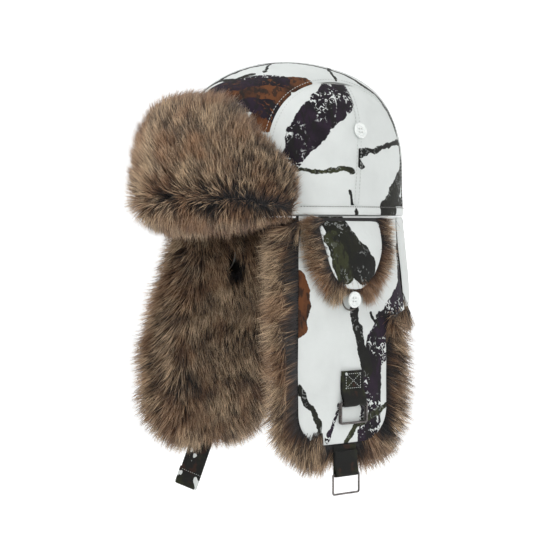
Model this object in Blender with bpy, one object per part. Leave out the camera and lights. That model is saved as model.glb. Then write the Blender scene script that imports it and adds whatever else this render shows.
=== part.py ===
"""Trapper hat with fur-lined ear flaps, a turned-up fur front flap and a neck flap.

Metres, +Z up. The front of the hat is at -Y and the wearer's left is at +X. The origin is the
middle of the head opening, at the crown's lower edge.
"""

import math

import bmesh
import bpy
from mathutils import Matrix, Vector

# Crown: half of an egg-shaped dome over a head of about 57 cm
HALF_WIDTH = 0.088
HALF_LENGTH = 0.108
CROWN_HEIGHT = 0.134
DOME_POWER = 4
TOP_SEAM_X = 0.061
SIDE_SEAM_Y = -0.001
SIDE_SEAM_SLOPE = 0.09
CLOTH = 0.001
GAP = 0.0003
SEAM_GAP = 0.00015
LAYER_GAP = 0.0010
WADDING = 0.004
LINING = 0.0012
SWEATBAND = (0.0020, 0.0320)
BAND_HEIGHT = 0.0075

# Front flap, turned up over the brow
FRONT_HALF_ANGLE = math.radians(60)
FRONT_END_HEIGHT = 0.026
FRONT_RISE = 0.060
FRONT_SLOPE = 0.022
FRONT_FUR_DEPTH = 0.032
FRONT_FUR_OVER = 0.020
FRONT_STAND_OFF = 0.0022
FRONT_ROOT_SPREAD = 0.5
FRONT_AXIS = (0.0, -0.113, 0.0005)

# Ear flaps
EAR_FRONT_Y = -0.054
EAR_BACK_Y = 0.0605
EAR_WAIST_Y = 0.044
EAR_WAIST_TOP = 0.084
EAR_WAIST_LOW = 0.110
EAR_LENGTH = 0.192
EAR_CORNER = 0.028
EAR_TOP = 0.0016
EAR_FLAT_X = 0.098
EAR_FLARE = 0.8
EAR_FORWARD = 0.015
EAR_SETTLE = 0.130
EAR_FRINGE = 0.025
EAR_FUR_DEPTH = 0.024
EAR_AXIS_X = 0.0905
EAR_HOLE = (-0.006, 0.036, 0.013, 0.017)

# Ear covers, over the ear openings
COVER_CENTRE_Y = -0.006
COVER_HALF_WIDTH = 0.033
COVER_LENGTH = 0.0635
COVER_FRINGE = 0.019
COVER_STAND_OFF = 0.0095
COVER_AXIS_Z = -0.0010

# Neck flap
NECK_SIDE_Y = 0.0612
NECK_LENGTH = 0.081
NECK_FLARE = 0.006
NECK_FUR_DEPTH = 0.020
NECK_FRINGE = 0.024
NECK_AXIS = (0.0, 0.112, -0.0005)

# Buttons, straps and wire rings
BUTTON_RADIUS = 0.0070
BUTTON_THICK = 0.0030
BUTTON_HEIGHT = 0.0706
EAR_BUTTON_DROP = 0.0715
STRAP_WIDTH = 0.0250
WEBBING = 0.0013
WIRE = 0.00085
RING_WIDTH = 0.0305
RING_HEIGHT = 0.0185
RING_CORNER = 0.0015
TAB_TOP = 0.131
TAB_FOLD = 0.158
TAB_SIDE = 0.006
STRAP_TOP = 0.1932
LEFT_STRAP = 0.0240
RIGHT_STRAP = 0.0620
RIGHT_STRAP_TILT = math.radians(24)

SIDES = {"left": 1, "right": -1}

for leftover in list(bpy.data.objects):
    bpy.data.objects.remove(leftover, do_unlink=True)


# Materials


def make_look(name, colour, roughness, metallic=0.0):
    """A plain Principled material."""
    look = bpy.data.materials.new(name)
    look.use_nodes = True
    shader = look.node_tree.nodes["Principled BSDF"]
    shader.inputs["Base Color"].default_value = (*colour, 1.0)
    shader.inputs["Roughness"].default_value = roughness
    shader.inputs["Metallic"].default_value = metallic
    return look


def look_for(name, kind):
    """Each sub-part has a material of its own, in one of the hat's few finishes."""
    finishes = {
        "poplin": ((0.78, 0.81, 0.78), 0.75, 0.0),
        "fur": ((0.15, 0.085, 0.045), 0.9, 0.0),
        "wadding": ((0.85, 0.85, 0.83), 0.95, 0.0),
        "lining": ((0.035, 0.030, 0.032), 0.5, 0.0),
        "webbing": ((0.035, 0.038, 0.028), 0.8, 0.0),
        "button": ((0.83, 0.86, 0.84), 0.25, 0.0),
        "thread": ((0.72, 0.74, 0.71), 0.7, 0.0),
        "wire": ((0.30, 0.29, 0.28), 0.28, 1.0),
    }
    return make_look(name + "_" + kind, *finishes[kind])


# Small helpers


def ease(t):
    """A smooth step from 0 to 1."""
    t = min(max(t, 0.0), 1.0)
    return t * t * (3 - 2 * t)


def spread(low, high, count):
    """Evenly spaced values from low to high."""
    return [low + (high - low) * k / count for k in range(count + 1)]


def make_hinge(name, place, parent=None):
    """An empty on a joint's axis, which its moving pieces are parented to."""
    hinge = bpy.data.objects.new(name, None)
    bpy.context.collection.objects.link(hinge)
    hinge.empty_display_size = 0.01
    hinge.location = place
    if parent:
        hinge.parent = parent
        hinge.location = Vector(place) - world_place(parent)
    return hinge


def world_place(thing):
    """Where an empty stands, through its parents."""
    place = thing.location.copy()
    while thing.parent:
        thing = thing.parent
        place += thing.location
    return place


def make_piece(name, bm, kind, parent=None):
    """Turns a bmesh into a named object with its material and its parent."""
    bmesh.ops.recalc_face_normals(bm, faces=bm.faces)
    mesh = bpy.data.meshes.new(name)
    bm.to_mesh(mesh)
    bm.free()
    mesh.shade_smooth()
    mesh.set_sharp_from_angle(angle=math.radians(40))
    mesh.materials.append(look_for(name, kind))
    piece = bpy.data.objects.new(name, mesh)
    bpy.context.collection.objects.link(piece)
    if parent:
        piece.parent = parent
        piece.matrix_parent_inverse = Matrix.Translation(world_place(parent)).inverted()
    return piece


def cut(piece, cutter):
    """Takes the cutter's shape out of the piece."""
    cutter.hide_render = True
    cutter.display_type = "WIRE"
    step = piece.modifiers.new("cut_" + cutter.name, "BOOLEAN")
    step.operation = "DIFFERENCE"
    step.object = cutter


def skin_rows(bm, place, across, down, inner):
    """One skin's vertices, as rows."""
    return [[bm.verts.new(place(u, v, inner)) for u in across] for v in down]


def make_pad(name, place, across, down, kind, parent=None):
    """A closed body between an outer and an inner skin; place(u, v, inner) gives a point."""
    bm = bmesh.new()
    outer = skin_rows(bm, place, across, down, False)
    inner = skin_rows(bm, place, across, down, True)
    for rows in (outer, inner):
        for upper, lower in zip(rows, rows[1:]):
            for k in range(len(across) - 1):
                bm.faces.new((upper[k], upper[k + 1], lower[k + 1], lower[k]))
    rims = []
    for rows in (outer, inner):
        rim = rows[0] + [row[-1] for row in rows[1:]]
        rim += rows[-1][-2::-1] + [row[0] for row in rows[-2:0:-1]]
        rims.append(rim)
    count = len(rims[0])
    for k in range(count):
        n = (k + 1) % count
        bm.faces.new((rims[0][k], rims[0][n], rims[1][n], rims[1][k]))
    return make_piece(name, bm, kind, parent)


def make_tube_grid(bm, rings, closed):
    """Faces between rings of vertices; closed joins the last ring to the first."""
    pairs = list(zip(rings, rings[1:]))
    if closed:
        pairs.append((rings[-1], rings[0]))
    for one, two in pairs:
        count = len(one)
        for k in range(count):
            n = (k + 1) % count
            bm.faces.new((one[k], one[n], two[n], two[k]))


# Crown


def crown_ratio(z, inset):
    """How wide the dome is at height z, as a share of its width at the opening."""
    share = z / (CROWN_HEIGHT - inset)
    return math.sqrt(max(0.0, 1 - share**DOME_POWER))


def crown_point(angle, z, inset):
    """A point of the dome; the angle runs from +X towards +Y."""
    ratio = crown_ratio(z, inset)
    return Vector(
        (
            (HALF_WIDTH - inset) * ratio * math.cos(angle),
            (HALF_LENGTH - inset) * ratio * math.sin(angle),
            z,
        )
    )


def plan_normal(angle):
    """The outward direction of the opening's outline, seen from above."""
    return Vector((math.cos(angle) / HALF_WIDTH, math.sin(angle) / HALF_LENGTH, 0)).normalized()


def side_seam_y(z):
    """The side seam leans back a little on its way up."""
    return SIDE_SEAM_Y + SIDE_SEAM_SLOPE * z


def make_top_panel():
    """The panel that runs from the brow over the top to the nape."""
    low = 0.0002

    def place(u, v, inner):
        inset = CLOTH if inner else 0.0
        wide, long, high = HALF_WIDTH - inset, HALF_LENGTH - inset, CROWN_HEIGHT - inset
        x = u * (TOP_SEAM_X - SEAM_GAP)
        left_over = 1 - (x / wide) ** 2
        crest = high * left_over**0.25
        start = math.asin(low / crest)
        turn = start + v * (math.pi - 2 * start)
        rise = math.sin(turn)
        y = long * math.sqrt(left_over * (1 - rise**4))
        return Vector((x, y if turn > math.pi / 2 else -y, crest * rise))

    make_pad("crown_top_panel", place, spread(-1, 1, 10), spread(0, 1, 20), "poplin")


def make_side_panel(side, end):
    """A quarter of the crown's sides, in front of or behind the side seam."""
    facing = SIDES[side]
    seam_x = TOP_SEAM_X + SEAM_GAP
    corner = 1 - (seam_x / (HALF_WIDTH - CLOTH)) ** 2 - (side_seam_y(0.113) / HALF_LENGTH) ** 2
    top = (CROWN_HEIGHT - CLOTH) * corner**0.25 * 0.996

    def place(u, v, inner):
        inset = CLOTH if inner else 0.0
        z = 0.0002 + (top - 0.0002) * (1 - (1 - v) ** 1.6)
        ratio = crown_ratio(z, inset)
        reach = math.acos(min(1.0, seam_x / ((HALF_WIDTH - inset) * ratio)))
        long = (HALF_LENGTH - inset) * ratio
        if end == "front":
            seam = math.asin((side_seam_y(z) - SEAM_GAP) / long)
            angle = -reach + (seam + reach) * u
        else:
            seam = math.asin((side_seam_y(z) + SEAM_GAP) / long)
            angle = seam + (reach - seam) * u
        point = crown_point(angle, z, inset)
        point.x *= facing
        return point

    name = "crown_side_{}_{}".format(side, end)
    make_pad(name, place, spread(0, 1, 7), spread(0, 1, 9), "poplin")


def make_dome(name, outer_inset, inner_inset, low, kind):
    """A whole bowl-shaped layer of the crown."""
    steps, rows = 32, 8
    bm = bmesh.new()
    layers = []
    for inset in (outer_inset, inner_inset):
        high = CROWN_HEIGHT - inset
        start = math.asin(low / high)
        rings = []
        for k in range(rows):
            z = high * math.sin(start + (math.pi / 2 - start) * k / rows)
            angles = spread(0, 2 * math.pi, steps)[:-1]
            rings.append([bm.verts.new(crown_point(a, z, inset)) for a in angles])
        make_tube_grid(bm, rings, False)
        pole = bm.verts.new((0, 0, high))
        for k in range(steps):
            bm.faces.new((rings[-1][k], rings[-1][(k + 1) % steps], pole))
        layers.append(rings[0])
    make_tube_grid(bm, layers, False)
    return make_piece(name, bm, kind)


def make_hoop(name, offsets, heights, kind, steps=48):
    """A strip that follows the opening's outline all the way round."""
    bm = bmesh.new()
    corners = (
        (offsets[0], heights[0]),
        (offsets[1], heights[0]),
        (offsets[1], heights[1]),
        (offsets[0], heights[1]),
    )
    rings = []
    for angle in spread(0, 2 * math.pi, steps)[:-1]:
        ring = []
        for offset, z in corners:
            point = crown_point(angle, 0, -offset)
            ring.append(bm.verts.new((point.x, point.y, z)))
        rings.append(ring)
    make_tube_grid(bm, rings, True)
    return make_piece(name, bm, kind)


# Front flap


def front_place(across, z, offset):
    """A point of the front flap's surface; across runs from -1 to 1, right end to left end."""
    angle = -math.pi / 2 + across * FRONT_HALF_ANGLE
    lean = -0.006 * max(0.0, z / 0.09) ** 2
    below = FRONT_ROOT_SPREAD * max(0.0, -z)
    out = FRONT_STAND_OFF + lean + below + offset
    point = crown_point(angle, 0, 0) + plan_normal(angle) * out
    point.z = z
    return point


def front_height(across):
    """The cloth's height above the opening: it slopes and is rounded down towards both ends."""
    slope = FRONT_SLOPE * ease((abs(across) - 0.25) / 0.65)
    return FRONT_END_HEIGHT + FRONT_RISE * math.sqrt(max(0.0, 1 - abs(across) ** 2.5)) - slope


def make_front_flap(hinge):
    """The cloth against the crown, and the fur that faces forward."""

    def shell(u, v, inner):
        z = 0.0006 + (front_height(u) - 0.0006) * v
        return front_place(u, z, 0.0 if inner else CLOTH)

    def fur(u, v, inner):
        across = 1.035 * u
        low = -0.010 + 0.006 * u * u
        high = front_height(u) + FRONT_FUR_OVER - 0.004 * u * u
        z = low + (high - low) * v
        if inner:
            return front_place(across, z, CLOTH + GAP)
        end = 0.42 + 0.58 * math.sqrt(max(0.0, 1 - abs(u) ** 3.2))
        up = 0.45 + 0.55 * math.sqrt(max(0.0, 1 - abs(2 * v - 1) ** 3.0))
        return front_place(across, z, CLOTH + GAP + FRONT_FUR_DEPTH * end * up)

    wide = [-1, -0.94, -0.82, -0.66, -0.5, -0.33, -0.16, 0, 0.16, 0.33, 0.5, 0.66, 0.82, 0.94, 1]
    tall = [0, 0.08, 0.22, 0.4, 0.6, 0.78, 0.92, 1]
    make_pad("front_flap_shell", shell, wide, spread(0, 1, 4), "poplin", hinge)
    make_pad("front_flap_fur", fur, wide, tall, "fur", hinge)


# Ear flaps


def ear_drift(drop):
    """The flap hangs forward and outward more and more over its upper part."""
    return ease(drop / EAR_SETTLE)


def ear_place(facing, y, drop, offset):
    """A point of the ear flap at a level y, a drop below the opening and an outward offset."""
    start_y = y + EAR_FORWARD * ear_drift(drop)
    start_x = HALF_WIDTH * math.sqrt(max(0.05, 1 - (start_y / HALF_LENGTH) ** 2))
    x = start_x + (EAR_FLAT_X - start_x) * EAR_FLARE * ear_drift(drop)
    return Vector((facing * (x + offset), y, -drop))


def ear_edges(drop):
    """The cloth's front and back edge at this drop."""
    shift = EAR_FORWARD * ear_drift(drop)
    front = EAR_FRONT_Y - shift
    waist = EAR_WAIST_Y - EAR_FORWARD
    if drop <= EAR_WAIST_TOP:
        back = EAR_BACK_Y - GAP
    elif drop < EAR_WAIST_LOW:
        left = (EAR_WAIST_LOW - drop) / (EAR_WAIST_LOW - EAR_WAIST_TOP)
        back = waist + (EAR_BACK_Y - waist) * (1 - math.sqrt(1 - left * left))
    else:
        back = waist
    below = drop - (EAR_LENGTH - EAR_CORNER)
    if below > 0:
        trim = EAR_CORNER - math.sqrt(max(0.0, EAR_CORNER**2 - below**2))
        front += trim
        back -= trim
    return front, back


def ear_fur_edges(drop):
    """The fur's front and back edge: past the cloth, but clear of the crown and the neck flap."""
    front, back = ear_edges(min(drop, EAR_LENGTH - 0.004))
    fringe = EAR_FRINGE * ease((drop - 0.008) / 0.030)
    front -= fringe
    back += EAR_FRINGE * ease((drop - EAR_WAIST_TOP) / 0.016)
    back = min(back, EAR_BACK_Y - GAP)
    below = drop - (EAR_LENGTH - EAR_CORNER)
    if below > 0:
        corner = EAR_CORNER + EAR_FRINGE
        trim = corner - math.sqrt(max(0.0, corner**2 - below**2))
        cloth = EAR_CORNER - math.sqrt(
            max(0.0, EAR_CORNER**2 - min(below, EAR_CORNER - 0.004) ** 2)
        )
        front += trim - cloth
        back -= trim - cloth
    return front, back


def make_ear_flap(side, hinge):
    """The printed cloth outside and the fur inside, both with an opening over the ear."""
    facing = SIDES[side]
    corner = EAR_LENGTH - EAR_CORNER
    rows = [EAR_TOP, 0.030, 0.058, EAR_WAIST_TOP, 0.0845, 0.088, 0.096, EAR_WAIST_LOW, 0.138, corner]
    rows += [corner + EAR_CORNER * math.sin(math.radians(a)) for a in (28, 50, 70, 86)]

    def shell(u, v, inner):
        front, back = ear_edges(v)
        return ear_place(facing, front + (back - front) * u, v, -CLOTH / 2 if inner else CLOTH / 2)

    def fur(u, v, inner):
        front, back = ear_fur_edges(v)
        y = front + (back - front) * u
        side_on = abs(2 * u - 1)
        up_top = 0.35 + 0.65 * ease((v - 0.002) / 0.030)
        at_end = 0.45 + 0.55 * math.sqrt(max(0.0, 1 - ease((v - 0.175) / 0.045) ** 2))
        if inner:
            round_off = 0.35 + 0.65 * math.sqrt(max(0.0, 1 - side_on**3))
            return ear_place(facing, y, v, -0.0016 - EAR_FUR_DEPTH * round_off * up_top * at_end)
        return ear_place(facing, y, v, -CLOTH / 2 - 2 * GAP)

    fur_low = corner + (EAR_CORNER + EAR_FRINGE) * 0.998
    fur_rows = [0.003, 0.014, 0.030, 0.055, 0.082, 0.090, 0.102, 0.116, 0.138, corner]
    fur_rows += [corner + (fur_low - corner) * math.sin(math.radians(a)) for a in (20, 38, 56, 74, 90)]
    fur_across = [0, 0.05, 0.14, 0.28, 0.42, 0.58, 0.72, 0.86, 0.95, 1]
    panel = make_pad(
        "ear_flap_{}_shell".format(side), shell, spread(0, 1, 8), rows, "poplin", hinge
    )
    lining = make_pad("ear_flap_{}_fur".format(side), fur, fur_across, fur_rows, "fur", hinge)
    hole = make_oval_cutter("ear_opening_" + side, facing, EAR_HOLE, hinge)
    cut(panel, hole)
    cut(lining, hole)


def make_oval_cutter(name, facing, oval, hinge):
    """An oval plug through the flap, level with X."""
    y, drop, half_y, half_z = oval
    bm = bmesh.new()
    rings = []
    for x in (0.050, 0.120):
        angles = spread(0, 2 * math.pi, 16)[:-1]
        rings.append(
            [
                bm.verts.new((facing * x, y + half_y * math.cos(a), half_z * math.sin(a) - drop))
                for a in angles
            ]
        )
    make_tube_grid(bm, rings, False)
    for ring in rings:
        bm.faces.new(ring)
    return make_piece(name, bm, "thread", hinge)


# Ear covers


def cover_half(drop, length, half_width):
    """Half the width of a shield-shaped outline at this drop."""
    return half_width * math.sqrt(max(0.0, 1 - (drop / length) ** 2.6))


def cover_place(facing, across, drop, offset):
    """A point over the ear flap, where across is measured from the cover's middle."""
    y = COVER_CENTRE_Y - EAR_FORWARD * ear_drift(drop) + across
    return ear_place(facing, y, drop, offset)


def cover_lift(drop):
    """How far the cover's cloth stands off the ear flap."""
    return 0.0018 + COVER_STAND_OFF * ease(drop / 0.034)


def make_ear_cover(side, hinge):
    """A small shield of cloth with a fur backing that shows all round it."""
    facing = SIDES[side]
    rows = [0.0026, 0.012, 0.024, 0.036, 0.046, 0.054, 0.059, 0.0625]
    fringe_length = COVER_LENGTH + COVER_FRINGE + 0.004

    def shell(u, v, inner):
        across = u * cover_half(v, COVER_LENGTH, COVER_HALF_WIDTH)
        lift = cover_lift(v) - 0.0020 * u * u * ease(v / 0.030)
        return cover_place(facing, across, v, lift - (CLOTH if inner else 0.0))

    def fur(u, v, inner):
        across = u * (
            cover_half(v, fringe_length, COVER_HALF_WIDTH + COVER_FRINGE * ease(v / 0.018))
        )
        if inner:
            return cover_place(facing, across, v, CLOTH / 2 + LAYER_GAP)
        edge = (abs(across) / max(0.004, cover_half(v, COVER_LENGTH, COVER_HALF_WIDTH))) ** 2
        edge = min(edge, 1.0)
        lift = cover_lift(v) - 0.0020 * edge * ease(v / 0.030) - CLOTH - LAYER_GAP
        outside = ease((abs(u) - 0.62) / 0.38) if v < COVER_LENGTH else 0.5
        low = ease((v - COVER_LENGTH) / (fringe_length - COVER_LENGTH))
        lift = max(0.0020, lift * (1 - 0.55 * max(outside, low)))
        return cover_place(facing, across, v, lift)

    fur_rows = [0.0125, 0.018, 0.026, 0.036, 0.048, 0.058, 0.066, 0.074, 0.080, 0.0855]
    make_pad("ear_cover_{}_shell".format(side), shell, spread(-1, 1, 8), rows, "poplin", hinge)
    across = [-1, -0.86, -0.66, -0.4, -0.14, 0.14, 0.4, 0.66, 0.86, 1]
    backing = make_pad("ear_cover_{}_fur".format(side), fur, across, fur_rows, "fur", hinge)
    middle = cover_place(facing, 0, EAR_BUTTON_DROP, 0)
    clear = make_turned(
        "button_clearance_" + side,
        ((0, -0.004), (0.0105, -0.004), (0.0105, 0.030), (0, 0.030)),
        face_out(middle, Vector((facing, 0, 0))),
        "thread",
        hinge,
        20,
    )
    cut(backing, clear)
    make_cover_loop(side, hinge, middle)


def make_cover_loop(side, hinge, middle):
    """The elastic loop at the cover's tip, which goes round the ear flap's button."""
    facing = SIDES[side]
    radius, cord = 0.0090, 0.0007
    bm = bmesh.new()
    rings = []
    for angle in spread(0, 2 * math.pi, 20)[:-1]:
        out = Vector((0, math.cos(angle), math.sin(angle)))
        centre = middle + out * radius + Vector((facing * 0.0045, 0, 0))
        ring = []
        for turn in spread(0, 2 * math.pi, 6)[:-1]:
            ring.append(
                bm.verts.new(
                    centre + out * cord * math.cos(turn) + Vector((cord * math.sin(turn), 0, 0))
                )
            )
        rings.append(ring)
    make_tube_grid(bm, rings, True)
    make_piece("ear_cover_{}_loop".format(side), bm, "thread", hinge)


# Neck flap


def neck_place(angle, drop, offset):
    """A point of the neck flap, which flares a little on its way down."""
    flare = NECK_FLARE * ease(drop / NECK_LENGTH)
    point = crown_point(angle, 0, 0) + plan_normal(angle) * (flare + offset)
    point.z = -drop
    return point


def make_neck_flap(hinge):
    """The printed cloth outside and the fur inside, from one ear flap round to the other."""
    first = math.asin(NECK_SIDE_Y / HALF_LENGTH)

    def angle_for(u, drop):
        keep = first + 0.03 * ease(drop / 0.100)
        return keep + (math.pi - 2 * keep) * u

    def shell(u, v, inner):
        return neck_place(angle_for(u, v), v, -CLOTH / 2 if inner else CLOTH / 2)

    def fur(u, v, inner):
        angle = angle_for(u, v)
        if not inner:
            return neck_place(angle, v, -CLOTH / 2 - 2 * GAP)
        side_on = abs(2 * u - 1)
        depth = NECK_FUR_DEPTH * (0.45 + 0.55 * math.sqrt(max(0.0, 1 - side_on**4)))
        depth *= 0.35 + 0.65 * ease((v - 0.002) / 0.030)
        depth *= 0.45 + 0.55 * math.sqrt(max(0.0, 1 - ease((v - 0.070) / 0.036) ** 2))
        point = neck_place(angle, v, -CLOTH / 2 - 2 * GAP - depth)
        point.y = max(point.y, NECK_SIDE_Y + GAP)
        return point

    rows = [EAR_TOP, 0.020, 0.050, NECK_LENGTH]
    fur_rows = [0.003, 0.014, 0.032, 0.055, 0.078, 0.094, NECK_LENGTH + NECK_FRINGE]
    make_pad("neck_flap_shell", shell, spread(0, 1, 16), rows, "poplin", hinge)
    across = [0, 0.03, 0.1, 0.2, 0.3, 0.4, 0.5, 0.6, 0.7, 0.8, 0.9, 0.97, 1]
    make_pad("neck_flap_fur", fur, across, fur_rows, "fur", hinge)


# Buttons


def face_out(place, normal):
    """A frame at place whose Z axis points along normal."""
    turn = normal.normalized().to_track_quat("Z", "Y").to_matrix().to_4x4()
    return Matrix.Translation(place) @ turn


def make_turned(name, profile, frame, kind, parent, steps):
    """A body turned about its frame's Z axis; the profile starts and ends on the axis."""
    bm = bmesh.new()
    rings = []
    for radius, height in profile[1:-1]:
        ring = []
        for angle in spread(0, 2 * math.pi, steps)[:-1]:
            point = Vector((radius * math.cos(angle), radius * math.sin(angle), height))
            ring.append(bm.verts.new(frame @ point))
        rings.append(ring)
    make_tube_grid(bm, rings, False)
    for (_, height), ring in ((profile[0], rings[0]), (profile[-1], rings[-1])):
        pole = bm.verts.new(frame @ Vector((0, 0, height)))
        for k in range(steps):
            bm.faces.new((ring[k], ring[(k + 1) % steps], pole))
    return make_piece(name, bm, kind, parent)


def make_button(name, frame, stand_off, parent):
    """A four-hole button with a raised rim, standing on its sewing thread."""
    r, t = BUTTON_RADIUS, BUTTON_THICK
    profile = (
        (0, 0.0),
        (r * 0.72, 0.0),
        (r * 0.94, t * 0.25),
        (r, t * 0.55),
        (r * 0.95, t * 0.9),
        (r * 0.86, t),
        (r * 0.74, t * 0.86),
        (r * 0.62, t * 0.62),
        (0, t * 0.58),
    )
    raised = frame @ Matrix.Translation((0, 0, stand_off))
    disc = make_turned(name, profile, raised, "button", parent, 20)
    bm = bmesh.new()
    for x in (-1, 1):
        for y in (-1, 1):
            spot = raised @ Matrix.Translation((x * r * 0.2, y * r * 0.2, t / 2))
            bmesh.ops.create_cone(
                bm,
                cap_ends=True,
                segments=8,
                radius1=r * 0.11,
                radius2=r * 0.11,
                depth=t * 3,
                matrix=spot,
            )
    cut(disc, make_piece(name + "_hole_cutter", bm, "thread", parent))
    stem = ((0, GAP), (0.0012, GAP), (0.0012, stand_off - GAP), (0, stand_off - GAP))
    make_turned(name + "_thread", stem, frame, "thread", parent, 10)


def make_crown_button(side):
    """The button on the side seam, which holds the ear cover when it is turned up."""
    z = BUTTON_HEIGHT
    y = side_seam_y(z)
    angle = math.asin(y / (HALF_LENGTH * crown_ratio(z, 0)))
    place = crown_point(angle, z, 0)
    normal = Vector(
        (
            2 * place.x / HALF_WIDTH**2,
            2 * place.y / HALF_LENGTH**2,
            4 * z**3 / CROWN_HEIGHT**4,
        )
    )
    place.x *= SIDES[side]
    normal.x *= SIDES[side]
    make_button("crown_button_" + side, face_out(place, normal), 0.0012, None)


def make_ear_button(side, hinge):
    """The button on the ear flap, which holds the ear cover down."""
    facing = SIDES[side]
    place = cover_place(facing, 0, EAR_BUTTON_DROP, CLOTH / 2)
    make_button("ear_button_" + side, face_out(place, Vector((facing, 0, 0))), 0.0075, hinge)


# Straps and wire rings


def make_ribbon(name, path, middle, frame, parent):
    """Webbing folded along a path of (outward, drop) points and as wide as the strap."""
    bm = bmesh.new()
    layers = []
    for level in (-1, 1):
        edge = []
        for k, (out, drop) in enumerate(path):
            before = path[max(k - 1, 0)]
            after = path[min(k + 1, len(path) - 1)]
            along = Vector((after[0] - before[0], after[1] - before[1])).normalized()
            shift = Vector((along.y, -along.x)) * WEBBING / 2 * level
            edge.append((out + shift.x, drop + shift.y))
        layers.append(edge)
    outline = layers[0] + layers[1][::-1]
    rings = []
    for y in (-STRAP_WIDTH / 2, STRAP_WIDTH / 2):
        rings.append([bm.verts.new(frame @ Vector((out, y + middle, -drop))) for out, drop in outline])
    make_tube_grid(bm, rings, False)
    half = len(path)
    for ring in rings:
        for k in range(half - 1):
            bm.faces.new((ring[k], ring[k + 1], ring[-2 - k], ring[-1 - k]))
    return make_piece(name, bm, "webbing", parent)


def fold_round(centre, radius, start, end, steps=8):
    """Points of a fold round a wire, from one angle to another."""
    return [
        (centre[0] + radius * math.cos(a), centre[1] + radius * math.sin(a))
        for a in spread(start, end, steps)
    ]


def make_ring(name, frame, parent):
    """A rectangular wire ring that hangs in its frame's YZ plane from its top bar."""
    half_wide = RING_WIDTH / 2 - WIRE
    drop = RING_HEIGHT - 2 * WIRE
    r = RING_CORNER
    corners = (
        (half_wide - r, -r, 0),
        (-half_wide + r, -r, 90),
        (-half_wide + r, -drop + r, 180),
        (half_wide - r, -drop + r, 270),
    )
    route = []
    for y, z, start in corners:
        for a in (0, 30, 60, 90):
            turn = math.radians(start + a)
            out = Vector((0, math.cos(turn), math.sin(turn)))
            route.append((Vector((0, y, z)) + out * r, out))
    bm = bmesh.new()
    rings = []
    for centre, out in route:
        ring = []
        for turn in spread(0, 2 * math.pi, 8)[:-1]:
            point = centre + out * WIRE * math.cos(turn) + Vector((WIRE * math.sin(turn), 0, 0))
            ring.append(bm.verts.new(frame @ point))
        rings.append(ring)
    make_tube_grid(bm, rings, True)
    return make_piece(name, bm, "wire", parent)


def make_keeper(flap_hinge):
    """The tab on the left ear flap, folded round the top bars of two rings."""
    middle = (sum(ear_edges(TAB_FOLD)) / 2) + TAB_SIDE
    base = ear_place(1, middle, TAB_FOLD, 0).x
    axis = 0.0041
    path = [(0.0014, TAB_TOP + 0.004), (0.0014, TAB_FOLD - 0.002)]
    path += fold_round((axis, TAB_FOLD), 0.0027, math.pi, 0)
    path += [(0.0068, TAB_FOLD - 0.002), (0.0046, TAB_FOLD - 0.0075)]
    path += [(0.0032, TAB_FOLD - 0.0115), (0.0032, TAB_TOP)]
    make_ribbon("keeper_tab_left", path, middle, Matrix.Translation((base, 0, 0)), flap_hinge)
    centre = Vector((base + axis, middle, -TAB_FOLD))
    inner_hinge = make_hinge("keeper_ring_inner_hinge", centre, flap_hinge)
    outer_hinge = make_hinge("keeper_ring_outer_hinge", centre, inner_hinge)
    apart = Vector((0.0011, 0, 0))
    make_ring("keeper_ring_inner", Matrix.Translation(centre - apart), inner_hinge)
    make_ring("keeper_ring_outer", Matrix.Translation(centre + apart), outer_hinge)


def make_left_strap(flap_hinge):
    """The short strap under the left ear flap, folded round its own ring."""
    middle = sum(ear_edges(EAR_LENGTH - 0.005)) / 2
    base = ear_place(1, middle, EAR_LENGTH, 0).x
    place = Vector((base, middle, -STRAP_TOP))
    hinge = make_hinge("chin_strap_left_hinge", place, flap_hinge)
    fold = (0.0018, STRAP_TOP + LEFT_STRAP)
    path = [(0, STRAP_TOP), (0, STRAP_TOP + 0.010), (0, fold[1] - 0.003)]
    path += fold_round(fold, 0.0018, math.pi, 0)
    path += [(0.0030, fold[1] - 0.004), (0.0017, fold[1] - 0.009), (0.0017, fold[1] - 0.019)]
    make_ribbon("chin_strap_left", path, middle, Matrix.Translation((base, 0, 0)), hinge)
    centre = Vector((base + fold[0], middle, -fold[1]))
    ring_hinge = make_hinge("chin_ring_hinge", centre, hinge)
    make_ring("chin_ring", Matrix.Translation(centre), ring_hinge)


def make_right_strap(flap_hinge):
    """The plain strap under the right ear flap, hemmed at its end and hanging forward."""
    middle = sum(ear_edges(EAR_LENGTH - 0.005)) / 2
    base = -ear_place(1, middle, EAR_LENGTH, 0).x
    place = Vector((base, middle, -STRAP_TOP))
    hinge = make_hinge("chin_strap_right_hinge", place, flap_hinge)
    lean = Matrix.Translation(place) @ Matrix.Rotation(-RIGHT_STRAP_TILT, 4, "X")
    end = RIGHT_STRAP
    path = [(0, 0.0058), (0, 0.020), (0, end - 0.001)]
    path += fold_round((-0.00085, end), 0.00085, 0, math.pi, 4)
    path += [(-0.0017, end - 0.001), (-0.0017, end - 0.015)]
    make_ribbon("chin_strap_right", path, 0, lean, hinge)


# The whole hat


def make_crown():
    """The outer panels, the wadding, the quilted lining and the bands round the opening."""
    make_top_panel()
    for side in SIDES:
        for end in ("front", "rear"):
            make_side_panel(side, end)
        make_crown_button(side)
    wadding_inset = CLOTH + LAYER_GAP
    lining_inset = wadding_inset + WADDING + GAP
    make_dome("crown_wadding", wadding_inset, wadding_inset + WADDING, 0.0030, "wadding")
    make_dome("crown_lining", lining_inset, lining_inset + LINING, 0.0012, "lining")
    sweat = lining_inset + LINING + LAYER_GAP
    make_hoop("sweatband", (-sweat - CLOTH, -sweat), SWEATBAND, "lining", 40)
    make_hoop("crown_band", (GAP, GAP + CLOTH), (-0.0006, BAND_HEIGHT), "poplin", 56)


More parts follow.
